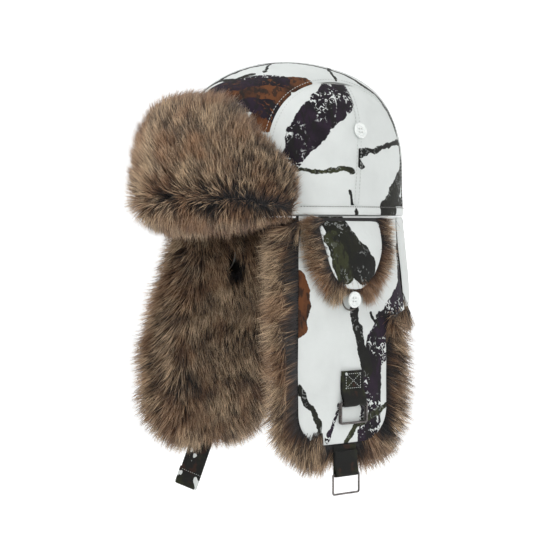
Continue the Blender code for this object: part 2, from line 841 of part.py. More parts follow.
def make_hat():
    """Every piece of the hat."""
    make_crown()
    make_front_flap(make_hinge("front_flap_hinge", FRONT_AXIS))
    make_neck_flap(make_hinge("neck_flap_hinge", NECK_AXIS))
    for side, facing in SIDES.items():
        place = (facing * EAR_AXIS_X, COVER_CENTRE_Y, 0)
        flap_hinge = make_hinge("ear_flap_{}_hinge".format(side), place)
        make_ear_flap(side, flap_hinge)
        cover_spot = (facing * EAR_AXIS_X, COVER_CENTRE_Y, COVER_AXIS_Z)
        cover_hinge = make_hinge("ear_cover_{}_hinge".format(side), cover_spot, flap_hinge)
        make_ear_cover(side, cover_hinge)
        make_ear_button(side, flap_hinge)
        if side == "left":
            make_keeper(flap_hinge)
            make_left_strap(flap_hinge)
        else:
            make_right_strap(flap_hinge)


make_hat()
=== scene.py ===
"""Trapper hat: the visible pieces, their materials and the stage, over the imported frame.

Metres, +Z up. The front of the hat is at -Y and the wearer's left is at +X.
"""

import math

import bmesh
import bpy
import numpy as np
from bpy.props import FloatProperty, FloatVectorProperty, PointerProperty
from mathutils import Matrix, Vector, noise


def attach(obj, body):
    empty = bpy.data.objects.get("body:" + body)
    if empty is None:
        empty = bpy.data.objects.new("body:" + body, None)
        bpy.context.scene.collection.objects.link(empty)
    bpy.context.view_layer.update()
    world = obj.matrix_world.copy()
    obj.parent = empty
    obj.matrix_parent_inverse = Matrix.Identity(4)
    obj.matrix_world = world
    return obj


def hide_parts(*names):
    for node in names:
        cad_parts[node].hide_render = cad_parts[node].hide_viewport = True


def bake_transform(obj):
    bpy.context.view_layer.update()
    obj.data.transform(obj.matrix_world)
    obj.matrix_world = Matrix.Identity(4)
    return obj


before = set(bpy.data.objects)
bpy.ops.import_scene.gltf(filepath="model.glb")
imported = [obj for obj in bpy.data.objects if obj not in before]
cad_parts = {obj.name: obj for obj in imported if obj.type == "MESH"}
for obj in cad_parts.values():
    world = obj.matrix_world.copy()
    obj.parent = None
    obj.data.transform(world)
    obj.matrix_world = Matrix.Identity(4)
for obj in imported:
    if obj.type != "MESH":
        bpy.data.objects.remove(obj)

bl_info = {
    "name": "Trapper Hat",
    "version": (1, 0, 0),
    "blender": (4, 5, 0),
    "location": "3D View > Sidebar > Hat",
    "description": "Builds a fur-lined trapper hat over its packed frame",
    "category": "Object",
}

# The frame's own shape, which every visible piece follows

HALF_WIDTH = 0.088
HALF_LENGTH = 0.108
CROWN_HEIGHT = 0.134
DOME_POWER = 4
TOP_SEAM_X = 0.061
SIDE_SEAM_Y = -0.001
SIDE_SEAM_SLOPE = 0.09
CLOTH = 0.001
BAND_HEIGHT = 0.0075
FRONT_HALF_ANGLE = math.radians(60)
FRONT_END_HEIGHT = 0.026
FRONT_RISE = 0.060
FRONT_SLOPE = 0.022
FRONT_FUR_DEPTH = 0.032
FRONT_STAND_OFF = 0.0022
EAR_FRONT_Y = -0.054
EAR_BACK_Y = 0.0605
EAR_WAIST_Y = 0.044
EAR_WAIST_TOP = 0.084
EAR_WAIST_LOW = 0.110
EAR_LENGTH = 0.192
EAR_CORNER = 0.028
EAR_TOP = 0.0016
EAR_FLAT_X = 0.098
EAR_FLARE = 0.8
EAR_FORWARD = 0.015
EAR_SETTLE = 0.130
EAR_FUR_DEPTH = 0.024
EAR_HOLE = (-0.006, 0.036, 0.013, 0.017)
COVER_CENTRE_Y = -0.006
COVER_HALF_WIDTH = 0.033
COVER_LENGTH = 0.0635
COVER_STAND_OFF = 0.0095
NECK_SIDE_Y = 0.0612
NECK_LENGTH = 0.081
NECK_FLARE = 0.006
NECK_FUR_DEPTH = 0.020
STRAP_WIDTH = 0.0250
WEBBING = 0.0013
TAB_TOP = 0.131
TAB_FOLD = 0.158
TAB_SIDE = 0.006
STRAP_TOP = 0.1932
LEFT_STRAP = 0.0240
RIGHT_STRAP = 0.0620
RIGHT_STRAP_TILT = math.radians(24)
STITCH_LIFT = 0.0006

SIDES = {"left": 1, "right": -1}


# Shapes shared by the pieces


def ease(t):
    """A smooth step from 0 to 1."""
    t = min(max(t, 0.0), 1.0)
    return t * t * (3 - 2 * t)


def mix(a, b, t):
    """A value between a and b."""
    return a + (b - a) * t


def spread(low, high, count):
    """Evenly spaced values from low to high."""
    return [low + (high - low) * k / count for k in range(count + 1)]


def crown_ratio(z, inset=0.0):
    """How wide the dome is at height z, as a share of its width at the opening."""
    share = z / (CROWN_HEIGHT - inset)
    return math.sqrt(max(0.0, 1 - share**DOME_POWER))


def crown_point(angle, z, inset=0.0):
    """A point of the dome; the angle runs from +X towards +Y."""
    ratio = crown_ratio(z, inset)
    wide, long = (HALF_WIDTH - inset) * ratio, (HALF_LENGTH - inset) * ratio
    return Vector((wide * math.cos(angle), long * math.sin(angle), z))


def plan_normal(angle):
    """The outward direction of the opening's outline, seen from above."""
    return Vector((math.cos(angle) / HALF_WIDTH, math.sin(angle) / HALF_LENGTH, 0)).normalized()


def side_seam_y(z):
    """The side seam leans back a little on its way up."""
    return SIDE_SEAM_Y + SIDE_SEAM_SLOPE * z


def top_point(u, v):
    """The top panel: u crosses it, and v runs from the brow over the top to the nape."""
    x = u * TOP_SEAM_X
    left_over = 1 - (x / HALF_WIDTH) ** 2
    crest = CROWN_HEIGHT * left_over**0.25
    start = math.asin(0.0004 / crest)
    turn = start + v * (math.pi - 2 * start)
    rise = math.sin(turn)
    y = HALF_LENGTH * math.sqrt(max(0.0, left_over * (1 - rise**4)))
    return Vector((x, y if turn > math.pi / 2 else -y, crest * rise))


def side_point(facing, end, u, v):
    """A side panel: u runs along it towards the back, and v from the band to the top seam."""
    corner = 1 - (TOP_SEAM_X / (HALF_WIDTH - CLOTH)) ** 2 - (side_seam_y(0.113) / HALF_LENGTH) ** 2
    top = (CROWN_HEIGHT - CLOTH) * corner**0.25 * 0.9985
    z = 0.0004 + (top - 0.0004) * (1 - (1 - v) ** 1.6)
    ratio = crown_ratio(z)
    reach = math.acos(min(1.0, TOP_SEAM_X / (HALF_WIDTH * ratio)))
    seam = math.asin(side_seam_y(z) / (HALF_LENGTH * ratio))
    low, high = (-reach, seam) if end == "front" else (seam, reach)
    point = crown_point(mix(low, high, u), z)
    point.x *= facing
    return point


def front_place(across, z, offset):
    """A point of the front flap's surface; across runs from -1 to 1, right end to left end."""
    angle = -math.pi / 2 + across * FRONT_HALF_ANGLE
    out = FRONT_STAND_OFF - 0.006 * max(0.0, z / 0.09) ** 2 + 0.5 * max(0.0, -z) + offset
    point = crown_point(angle, 0) + plan_normal(angle) * out
    point.z = z
    return point


def front_height(across):
    """The front flap's height above the opening: it slopes down towards both ends."""
    slope = FRONT_SLOPE * ease((abs(across) - 0.25) / 0.65)
    return FRONT_END_HEIGHT + FRONT_RISE * math.sqrt(max(0.0, 1 - abs(across) ** 2.5)) - slope


def ear_drift(drop):
    """The flap hangs forward and outward more and more over its upper part."""
    return ease(drop / EAR_SETTLE)


def ear_place(facing, y, drop, offset):
    """A point of the ear flap at a level y, a drop below the opening and an outward offset."""
    start_y = y + EAR_FORWARD * ear_drift(drop)
    start_x = HALF_WIDTH * math.sqrt(max(0.05, 1 - (start_y / HALF_LENGTH) ** 2))
    x = start_x + (EAR_FLAT_X - start_x) * EAR_FLARE * ear_drift(drop)
    return Vector((facing * (x + offset), y, -drop))


def ear_edges(drop, past=0.0):
    """The ear cloth's front and back edge at this drop, or a line a little past it."""
    front = EAR_FRONT_Y - EAR_FORWARD * ear_drift(drop)
    waist = EAR_WAIST_Y - EAR_FORWARD
    if drop <= EAR_WAIST_TOP:
        back = EAR_BACK_Y - 0.0003
    elif drop < EAR_WAIST_LOW:
        left = (EAR_WAIST_LOW - drop) / (EAR_WAIST_LOW - EAR_WAIST_TOP)
        back = waist + (EAR_BACK_Y - waist) * (1 - math.sqrt(1 - left * left))
    else:
        back = waist
    front -= past * ease((drop - 0.006) / 0.02)
    back = min(back + past * ease((drop - EAR_WAIST_TOP) / 0.016), EAR_BACK_Y - 0.0003)
    corner = EAR_CORNER + past
    below = drop - (EAR_LENGTH - EAR_CORNER)
    if below > 0:
        trim = corner - math.sqrt(max(0.0, corner**2 - below**2))
        front += trim
        back -= trim
    return front, back


def cover_half(drop, length, half_width):
    """Half the width of a shield-shaped outline at this drop."""
    return half_width * math.sqrt(max(0.0, 1 - (drop / length) ** 2.6))


def cover_place(facing, across, drop, offset):
    """A point over the ear flap, where across is measured from the cover's middle."""
    y = COVER_CENTRE_Y - EAR_FORWARD * ear_drift(drop) + across
    return ear_place(facing, y, drop, offset)


def cover_lift(drop):
    """How far the cover's cloth stands off the ear flap."""
    return 0.0018 + COVER_STAND_OFF * ease(drop / 0.034)


def neck_place(u, drop, offset):
    """A point of the neck flap; u runs from the left ear flap round to the right one."""
    first = math.asin(NECK_SIDE_Y / HALF_LENGTH) + 0.03 * ease(drop / 0.100)
    angle = mix(first, math.pi - first, u)
    flare = NECK_FLARE * ease(drop / NECK_LENGTH)
    point = crown_point(angle, 0) + plan_normal(angle) * (flare + offset)
    point.z = -drop
    return point


# Node building


class Wiring:
    """Adds nodes to a tree; a value is either a number, a vector or another node's output."""

    def __init__(self, tree):
        self.tree = tree

    def node(self, kind, *values, **settings):
        """A node with its settings, whose sockets take values in order or by name."""
        made = self.tree.nodes.new(kind)
        named = settings.pop("sockets", {})
        for key, value in settings.items():
            setattr(made, key, value)
        for key, value in list(enumerate(values)) + list(named.items()):
            if value is None:
                continue
            if isinstance(value, bpy.types.NodeSocket):
                self.tree.links.new(value, made.inputs[key])
            else:
                made.inputs[key].default_value = value
        return made

    def math(self, operation, *values, clamp=False):
        """A Math node's result."""
        return self.node("ShaderNodeMath", *values, operation=operation, use_clamp=clamp).outputs[0]

    def vector(self, operation, *values):
        """A Vector Math node's result, a number where it gives one."""
        made = self.node("ShaderNodeVectorMath", *values, operation=operation)
        return made.outputs["Value" if operation in ("DOT_PRODUCT", "LENGTH", "DISTANCE") else 0]

    def scale(self, value, factor):
        """A vector times a number."""
        made = self.node("ShaderNodeVectorMath", value, operation="SCALE")
        self.link_or_set(factor, made.inputs["Scale"])
        return made.outputs[0]

    def link_or_set(self, value, socket):
        """Links an output, or sets a plain value."""
        if isinstance(value, bpy.types.NodeSocket):
            self.tree.links.new(value, socket)
        else:
            socket.default_value = value

    def cloud(self, place, scale, detail):
        """A noise texture's value."""
        sockets = {"Vector": place, "Scale": scale, "Detail": detail}
        return self.node("ShaderNodeTexNoise", sockets=sockets).outputs["Fac"]

    def bump(self, shader, strength, distance, height):
        """Raises a shader's surface by a height."""
        sockets = {"Strength": strength, "Distance": distance, "Height": height}
        made = self.node("ShaderNodeBump", sockets=sockets)
        self.tree.links.new(made.outputs[0], shader.inputs["Normal"])

    def ramp(self, value, low, high, start=0.0, end=1.0, smooth=True):
        """Maps a range to another, held at both ends."""
        kind = "SMOOTHSTEP" if smooth else "LINEAR"
        made = self.node(
            "ShaderNodeMapRange", value, low, high, start, end, interpolation_type=kind
        )
        return made.outputs[0]

    def blend(self, factor, first, second, kind="MIX"):
        """A mix of two colours."""
        made = self.node("ShaderNodeMix", data_type="RGBA", blend_type=kind)
        self.link_or_set(factor, made.inputs[0])
        self.link_or_set(first, made.inputs[6])
        self.link_or_set(second, made.inputs[7])
        return made.outputs[2]


def rgba(colour):
    """A colour with its alpha."""
    return (*colour[:3], 1.0)


def start_look(name, roughness=0.7, sheen=0.0):
    """A material with its wiring and its Principled shader."""
    look = bpy.data.materials.new(name)
    look.use_nodes = True
    shader = look.node_tree.nodes["Principled BSDF"]
    shader.inputs["Roughness"].default_value = roughness
    shader.inputs["Sheen Weight"].default_value = sheen
    return look, Wiring(look.node_tree), shader


def object_place(w):
    """A point's place in the hat, in metres."""
    return w.node("ShaderNodeTexCoord").outputs["Object"]


def weave_height(w, pitch):
    """The crossing threads of a plain weave, read along the cloth's own UV map."""
    along = w.node("ShaderNodeUVMap", uv_map="Cloth").outputs[0]
    parts = w.node("ShaderNodeSeparateXYZ", along)
    turns = [w.math("MULTIPLY", parts.outputs[k], math.pi / pitch) for k in (0, 1)]
    waves = [w.math("SINE", turn) for turn in turns]
    return w.math("MULTIPLY", waves[0], waves[1])


def stroke_group():
    """A node group: the distance to a tapering stroke between two points, or to an earlier one."""
    tree = bpy.data.node_groups.new("print stroke", "ShaderNodeTree")
    for label, kind in (
        ("Place", "NodeSocketVector"),
        ("Start", "NodeSocketVector"),
        ("End", "NodeSocketVector"),
        ("Start width", "NodeSocketFloat"),
        ("End width", "NodeSocketFloat"),
        ("Nearest", "NodeSocketFloat"),
    ):
        tree.interface.new_socket(label, in_out="INPUT", socket_type=kind)
    tree.interface.new_socket("Nearest", in_out="OUTPUT", socket_type="NodeSocketFloat")
    w = Wiring(tree)
    given = w.node("NodeGroupInput").outputs
    span = w.vector("SUBTRACT", given["End"], given["Start"])
    from_start = w.vector("SUBTRACT", given["Place"], given["Start"])
    size = w.vector("DOT_PRODUCT", span, span)
    share = w.math("DIVIDE", w.vector("DOT_PRODUCT", from_start, span), size, clamp=True)
    away = w.vector("LENGTH", w.vector("SUBTRACT", from_start, w.scale(span, share)))
    widening = w.math("SUBTRACT", given["End width"], given["Start width"])
    width = w.math("MULTIPLY_ADD", widening, share, given["Start width"])
    nearest = w.math("MINIMUM", w.math("SUBTRACT", away, width), given[5])
    w.node("NodeGroupOutput", nearest)
    return tree


def fit_to(surface, point):
    """The point, in millimetres, moved onto one of the hat's surfaces, in metres."""
    x, y, z = (c / 1000 for c in point)
    if surface == "crown":
        shares = ((x / HALF_WIDTH) ** 2 + (y / HALF_LENGTH) ** 2, (z / CROWN_HEIGHT) ** DOME_POWER)
        scale = 1.0
        for _ in range(20):
            scale -= (shares[0] * scale**2 + shares[1] * scale**4 - 1) / (
                2 * shares[0] * scale + 4 * shares[1] * scale**3
            )
        return Vector((x, y, z)) * scale
    if surface == "ear":
        return ear_place(1, y, -z, CLOTH / 2)
    if surface == "cover":
        return ear_place(1, y, -z, cover_lift(-z))
    angle = math.atan2(y / HALF_LENGTH, x / HALF_WIDTH)
    base = crown_point(angle, 0) + plan_normal(angle) * NECK_FLARE * ease(-z / NECK_LENGTH)
    return Vector((base.x, base.y, z))


def stroke_distance(w, place, strokes, surface):
    """The distance from place to the nearest of several bent strokes over a surface."""
    group = bpy.data.node_groups.get("print stroke") or stroke_group()
    nearest = 1.0
    for stroke in strokes:
        for (one, wide), (two, thin) in zip(stroke, stroke[1:]):
            count = max(1, round(math.dist(one, two) / 17))
            for k in range(count):
                shares = (k / count, (k + 1) / count)
                ends = [[mix(a, b, share) for a, b in zip(one, two)] for share in shares]
                sizes = [mix(wide, thin, share) / 1000 for share in (k / count, (k + 1) / count)]
                made = w.node("ShaderNodeGroup", node_tree=group)
                values = (
                    place, fit_to(surface, ends[0]), fit_to(surface, ends[1]), *sizes, nearest
                )
                for socket, value in zip(made.inputs, values):
                    w.link_or_set(value, socket)
                nearest = made.outputs[0]
    return nearest


# The winter print: strokes as (place in millimetres, half width in millimetres)

TOP_BRANCHES = (
    (((-24, -88, 98), 2.0), ((-6, -76, 114), 2.4), ((6, -54, 124), 2.2), ((14, -40, 128), 1.8)),
    (
        ((12, -46, 126), 1.8), ((17, -30, 129), 1.9), ((30, -12, 129), 2.0), ((44, 16, 123), 2.2),
        ((52, 32, 114), 2.6)
    ),
    (((-6, -76, 114), 1.6), ((14, -72, 112), 1.8), ((24, -60, 116), 1.4)),
    (((4, -40, 129), 0.9), ((14, -34, 129), 1.1), ((30, -52, 120), 1.1)),
    (((34, 14, 127), 1.5), ((46, 6, 122), 1.6), ((57, 2, 115), 1.9)),
    (
        ((52, 32, 114), 2.2), ((54, 50, 106), 2.0), ((58, 60, 96), 2.0), ((58, 72, 80), 2.2),
        ((62, 72, 67), 2.6)
    ),
    (((61, 73, 65), 2.2), ((60, 78, 45), 3.5), ((61, 77, 27), 8.0), ((61, 78, 8), 8.8)),
    (((20, 92, 70), 1.4), ((-5, 88, 84), 1.8), ((-30, 80, 80), 1.2)),
    (((-5, 88, 84), 1.5), ((-12, 70, 110), 1.0)),
    (((-10, 105, 40), 2.4), ((-35, 100, 20), 3.0), ((-55, 86, 4), 4.0)),
)
TOP_BROWNS = (
    (((4, -84, 103), 9.0), ((30, -76, 103), 14.0), ((52, -62, 103), 15.0)),
    (((60, -76, 84), 12.0), ((50, -56, 112), 9.0), ((60, -34, 112), 7.0)),
)
TOP_LEAVES = (
    (((2, -84, 104), 7.0), ((26, -72, 110), 8.5), ((48, -50, 112), 7.0)),
    (((40, -84, 92), 6.0), ((56, -70, 88), 8.0), ((66, -62, 78), 7.0)),
    (((-40, 20, 124), 5.0), ((-48, 50, 108), 10.0), ((-50, 66, 92), 6.0)),
)
SIDE_FRONT_LEAVES = (
    (((64, 8, 112), 13.0), ((74, -12, 96), 16.0), ((76, -48, 66), 14.5), ((74, -60, 46), 8.0)),
)
SIDE_FRONT_VEIN = ((((63, -9, 111), 0.7), ((74, -12, 97), 0.8), ((80, -18, 82), 0.6)),)
SIDE_FRONT_TWIGS = (
    (((73, -59, 37), 1.6), ((82, -38, 35), 1.9), ((86, -16, 38), 1.7), ((87, -4, 36), 1.7)),
)
SIDE_FRONT_BRANCHES = (
    (((72, -62, 30), 0.7), ((68, -68, 16), 0.7)),
    (((88, -7, 20), 0.9), ((88, -6, 9), 1.1), ((88, -1, 0), 1.8)),
)
SIDE_REAR_BRANCHES = (
    (((87, 2, 51), 2.3), ((84, 25, 55), 2.2), ((61, 73, 64), 2.1)),
    (((86, 1, 46), 1.5), ((87, 4, 45), 1.6), ((87, 7, 41), 1.4)),
    (
        ((63, 73, 58), 1.8), ((62, 75, 43), 3.5), ((69, 67, 31), 7.1), ((77, 52, 17), 10.6),
        ((83, 37, 4), 8.0)
    ),
    (((81, 41, 7), 3.5), ((64, 74, 10), 7.1)),
)
SIDE_PRINTS = {
    "front": (SIDE_FRONT_BRANCHES, SIDE_FRONT_LEAVES, (), SIDE_FRONT_TWIGS, SIDE_FRONT_VEIN),
    "rear": (SIDE_REAR_BRANCHES,),
}
EAR_BROWN = ((((87, -63, -56), 10.0), ((90, -66, -72), 13.5), ((90, -70, -92), 10.0)),)
EAR_BRANCHES = (
    (((94, -9, -80), 4.0), ((96, -3, -110), 4.4), ((96, 5, -132), 5.3)),
    (((93, 12, -85), 1.2), ((94, 18, -96), 1.2)),
    (
        ((94, -68, -143), 1.9), ((95, -61, -156), 2.2), ((96, -49, -172), 2.2),
        ((96, -47, -190), 1.9)
    ),
)
EAR_LEAVES = (
    (
        ((77, 60, -30), 5.3), ((81, 60, -63), 7.1), ((90, 37, -86), 10.6), ((94, 24, -103), 8.8),
        ((95, 21, -120), 8.0)
    ),
    (((90, 30, -94), 13.0), ((95, 16, -112), 12.0), ((95, 12, -126), 9.0)),
    (((95, 12, -126), 9.0), ((96, 10, -145), 11.5), ((96, 8, -170), 11.0), ((96, 6, -192), 12.5)),
    (((96, -28, -158), 1.1), ((96, -32, -172), 1.3), ((96, -39, -189), 1.4)),
)
EAR_TWIGS = (
    (((95, 28, -163), 1.8), ((96, 15, -168), 2.2), ((96, -9, -178), 2.2), ((96, -20, -191), 2.1)),
)
COVER_BRANCHES = ((((88, -28, -4), 9.7), ((98, -17, -30), 14.2), ((101, -4, -45), 14.2)),)
COVER_TWIGS = ((((93, -32, -21), 6.2), ((100, -24, -51), 7.1)),)
NECK_BRANCHES = (
    (((58, 84, -6), 2.0), ((30, 106, -22), 2.6), ((0, 113, -40), 3.4)),
    (((0, 113, -40), 3.4), ((-28, 106, -50), 2.6), ((-52, 90, -72), 2.0)),
    (((10, 112, -36), 1.6), ((16, 112, -60), 1.2), ((30, 108, -76), 0.9)),
)
NECK_LEAVES = ((((-20, 110, -14), 5.0), ((-44, 97, -26), 8.0)),)
BAND_BRANCHES = (
    (((88, -2, 4), 1.6), ((88, -1, -1), 1.8)),
    (((83, 37, 6), 8.0), ((77, 52, 3), 6.0)),
)


def print_look(name, surface, facing=1, branches=(), leaves=(), browns=(), twigs=(), veins=()):
    """White poplin with a printed winter pattern; facing -1 mirrors it to the right side."""
    hat = bpy.context.scene.hat_colours
    look, w, shader = start_look(name, 0.85, 0.04)
    shader.inputs["Specular IOR Level"].default_value = 0.2
    place = object_place(w)
    if facing < 0:
        place = w.vector("MULTIPLY", place, (-1.0, 1.0, 1.0))
    waver = w.node("ShaderNodeTexNoise", sockets={"Vector": place, "Scale": 95.0, "Detail": 3.0})
    shift = w.scale(w.vector("SUBTRACT", waver.outputs["Color"], (0.5, 0.5, 0.5)), 0.008)
    normal = w.node("ShaderNodeTexCoord").outputs["Normal"]
    if facing < 0:
        normal = w.vector("MULTIPLY", normal, (-1.0, 1.0, 1.0))
    inward = w.scale(normal, w.vector("DOT_PRODUCT", shift, normal))
    drawn = w.vector("ADD", place, w.vector("SUBTRACT", shift, inward))
    grain = w.cloud(place, 420.0, 2.0)
    ragged = w.math("MULTIPLY_ADD", grain, 0.0012, -0.0006)
    blotch = w.cloud(place, 38.0, 4.0)
    soil = w.ramp(blotch, 0.35, 0.75)
    colour = w.blend(soil, rgba(hat.cloth), rgba([c * 0.93 for c in hat.cloth]))
    fleck_noise = w.node(
        "ShaderNodeTexNoise", sockets={
            "Vector": place, "Scale": 210.0, "Detail": 2.0, "Distortion": 1.6
        }
    )
    stretched = w.vector("MULTIPLY", place, (1.0, 1.0, 0.35))
    hatch = w.cloud(stretched, 240.0, 3.0)
    flecks = w.ramp(fleck_noise.outputs["Fac"], 0.575, 0.60)
    patches = w.cloud(place, 55.0, 1.0)
    flecked = w.math("MULTIPLY", flecks, w.ramp(patches, 0.44, 0.54))

    def lay(colour, strokes, ink, second, white=0.0):
        distance = w.math("ADD", stroke_distance(w, drawn, strokes, surface), ragged)
        mask = w.ramp(distance, 0.0007, 0.0011, 1.0, 0.0)
        if white:
            mask = w.math("MULTIPLY", mask, w.math("MULTIPLY_ADD", flecked, -white, 1.0))
        tone = w.blend(w.ramp(blotch, 0.42, 0.58), rgba(ink), rgba(second))
        tone = w.blend(w.ramp(grain, 0.3, 0.7, 0.0, 0.35), tone, rgba(second))
        tone = w.blend(w.ramp(hatch, 0.52, 0.60, 0.0, 0.75), tone, rgba(hat.branch_deep))
        return w.blend(mask, colour, tone)

    if browns:
        colour = lay(colour, browns, hat.brown, hat.russet)
    if leaves:
        colour = lay(colour, leaves, hat.leaf, hat.leaf_deep, 1.0)
    if branches:
        colour = lay(colour, branches, hat.branch, hat.branch_deep, 0.25)
    if twigs:
        colour = lay(colour, twigs, hat.olive, hat.branch, 0.2)
    if veins:
        colour = lay(colour, veins, hat.cloth, hat.cloth)
    weave = weave_height(w, 0.00055)
    # Painted shade and highlight of the weave: the cloth is darker where its threads dip and lighter
    # where they cross over.
    weave_shade = w.ramp(weave, -1.0, 1.0, 0.96, 1.02, smooth=False)
    colour = w.blend(
        1.0, colour, w.node("ShaderNodeCombineColor", weave_shade, weave_shade, weave_shade).outputs[0], "MULTIPLY"
    )
    w.link_or_set(colour, shader.inputs["Base Color"])
    w.link_or_set(w.ramp(weave, -1.0, 1.0, 0.84, 0.70), shader.inputs["Roughness"])
    creases = w.cloud(place, 130.0, 3.0)
    height = w.math("MULTIPLY_ADD", creases, 0.0007, w.math("MULTIPLY", weave, 0.00006))
    w.bump(shader, 0.9, 1.0, height)
    return look


# Mesh building


def finish_mesh(name, bm, look, smooth=60):
    """Turns a bmesh into an object with its normals outward and its material."""
    bmesh.ops.recalc_face_normals(bm, faces=bm.faces)
    mesh = bpy.data.meshes.new(name)
    bm.to_mesh(mesh)
    bm.free()
    mesh.shade_smooth()
    mesh.set_sharp_from_angle(angle=math.radians(smooth))
    mesh.materials.append(look)
    piece = bpy.data.objects.new(name, mesh)
    bpy.context.collection.objects.link(piece)
    return piece


def settle(piece, body, slot, *nodes):
    """The piece rides on its body and stands for its nodes; the slot is not used."""
    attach(piece, body)
    if nodes:
        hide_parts(*nodes)
    return piece


def bend_from_crown(piece, drop, node):
    """The piece keeps its place, with its transform baked into its mesh, and stands for its node;
    the drop is not used.
    """
    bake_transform(piece)
    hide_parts(node)


def arc_lengths(points, axis):
    """Distances along the grid's rows or columns, from the first point."""
    steps = np.linalg.norm(np.diff(points, axis=axis), axis=2)
    start = np.zeros_like(np.take(steps, [0], axis=axis))
    return np.concatenate([start, np.cumsum(steps, axis=axis)], axis=axis)


def grid_normals(points, inward=False):
    """Unit normals of a grid of points, pointing away from the hat's axis."""
    across = np.gradient(points, axis=1)
    down = np.gradient(points, axis=0)
    normals = np.cross(across, down)
    normals /= np.linalg.norm(normals, axis=2, keepdims=True) + 1e-12
    away = points.copy()
    away[:, :, 2] = np.maximum(away[:, :, 2], 0)
    if np.sum(normals * away) < 0:
        normals = -normals
    return -normals if inward else normals


def crease_noise(points, size, stretch=(1.0, 1.0, 1.0)):
    """Smooth noise over a grid of points, from -1 to 1, with features of about that size."""
    turn = np.array(stretch) / size
    flat = points.reshape(-1, 3) * turn
    values = [noise.noise(Vector(p)) for p in flat]
    return np.array(values).reshape(points.shape[:2])


def grid_faces(bm, rows):
    """Quads between neighbouring rows of vertices."""
    for upper, lower in zip(rows, rows[1:]):
        for k in range(len(upper) - 1):
            bm.faces.new((upper[k], upper[k + 1], lower[k + 1], lower[k]))


def rim_of(rows):
    """The vertices round a grid's border, in order."""
    rim = rows[0] + [row[-1] for row in rows[1:]]
    return rim + rows[-1][-2::-1] + [row[0] for row in rows[-2:0:-1]]


def close_rim(bm, outer, inner):
    """Faces between the borders of two grids."""
    one, two = rim_of(outer), rim_of(inner)
    for k in range(len(one)):
        n = (k + 1) % len(one)
        bm.faces.new((one[k], one[n], two[n], two[k]))


def map_cloth(bm, layer, places):
    """Writes each vertex's place on the flat cloth, in metres, to the UV map."""
    for face in bm.faces:
        for loop in face.loops:
            loop[layer].uv = places[loop.vert]


def cloth_area(points):
    """The area of a grid of points."""
    one = np.cross(points[1:, :-1] - points[:-1, :-1], points[:-1, 1:] - points[:-1, :-1])
    two = np.cross(points[1:, :-1] - points[1:, 1:], points[:-1, 1:] - points[1:, 1:])
    return float((np.linalg.norm(one, axis=2) + np.linalg.norm(two, axis=2)).sum() / 2)


def make_cloth(name, place, across, down, look, puff=0.0, crease=0.0, hole=None, edge=0.006):
    """A thin closed sheet: it swells between its seams, and its borders turn in softly."""
    points = np.array([[place(u, v) for u in across] for v in down], dtype=float)
    wide, long = arc_lengths(points, 1), arc_lengths(points, 0)
    border = np.minimum(
        np.minimum(wide, wide[:, -1:] - wide), np.minimum(long, long[-1:, :] - long)
    )
    inside = 1 - np.exp(-border / edge)
    lift = puff * inside
    if crease:
        slow = crease_noise(points, 0.030, (0.8, 0.8, 1.2))
        quick = crease_noise(points + 3.0, 0.011, (1.0, 1.0, 0.6))
        lift = lift + crease * (
            slow + 0.35 * quick * np.exp(-border / 0.012)
        ) * (0.25 + 0.75 * inside)
    turned = 0.00035 * np.exp(-((border / 0.0008) ** 2))
    normals = grid_normals(points)
    outer_points = points + normals * (lift - turned)[:, :, None]
    inner_points = points + normals * (lift - CLOTH * 0.9 + turned)[:, :, None]
    bm = bmesh.new()
    layer = bm.loops.layers.uv.new("Cloth")
    places, skins = {}, []
    for skin in (outer_points, inner_points):
        rows = [[bm.verts.new(p) for p in row] for row in skin]
        skins.append(rows)
        grid_faces(bm, rows)
        for k, row in enumerate(rows):
            for n, vert in enumerate(row):
                places[vert] = (wide[k, n] - wide[k, -1] / 2, long[k, n])
    close_rim(bm, *skins)
    if hole:
        cut_hole(bm, skins, hole)
        places = {v: places[v] for v in bm.verts}
    map_cloth(bm, layer, places)
    piece = finish_mesh(name, bm, look)
    piece["flat"] = (float(wide[:, -1].max()), float(long[-1, :].max()), cloth_area(points))
    return piece


def cut_hole(bm, skins, hole):
    """Opens both skins inside the hole, moves their new borders onto its outline and joins them."""
    inside_hole, onto_outline = hole
    twins = {}
    for outer, inner in zip(*skins):
        twins.update(zip(outer, inner))
    inner_faces = {frozenset(f.verts): f for f in bm.faces}
    outer_verts = set(twins)
    gone, border = [], {}
    for face in list(bm.faces):
        verts = list(face.verts)
        if not all(v in outer_verts for v in verts):
            continue
        if not inside_hole(face.calc_center_median()):
            continue
        gone += [face, inner_faces[frozenset(twins[v] for v in verts)]]
        for edge in face.edges:
            border[edge] = border.get(edge, 0) + 1
    pairs = [edge.verts[:] for edge, count in border.items() if count == 1]
    bmesh.ops.delete(bm, geom=gone, context="FACES")
    for a, b in pairs:
        bm.faces.new((a, b, twins[b], twins[a]))
    for vert in {v for pair in pairs for v in pair}:
        vert.co = onto_outline(vert.co)
        twins[vert].co = onto_outline(twins[vert].co)


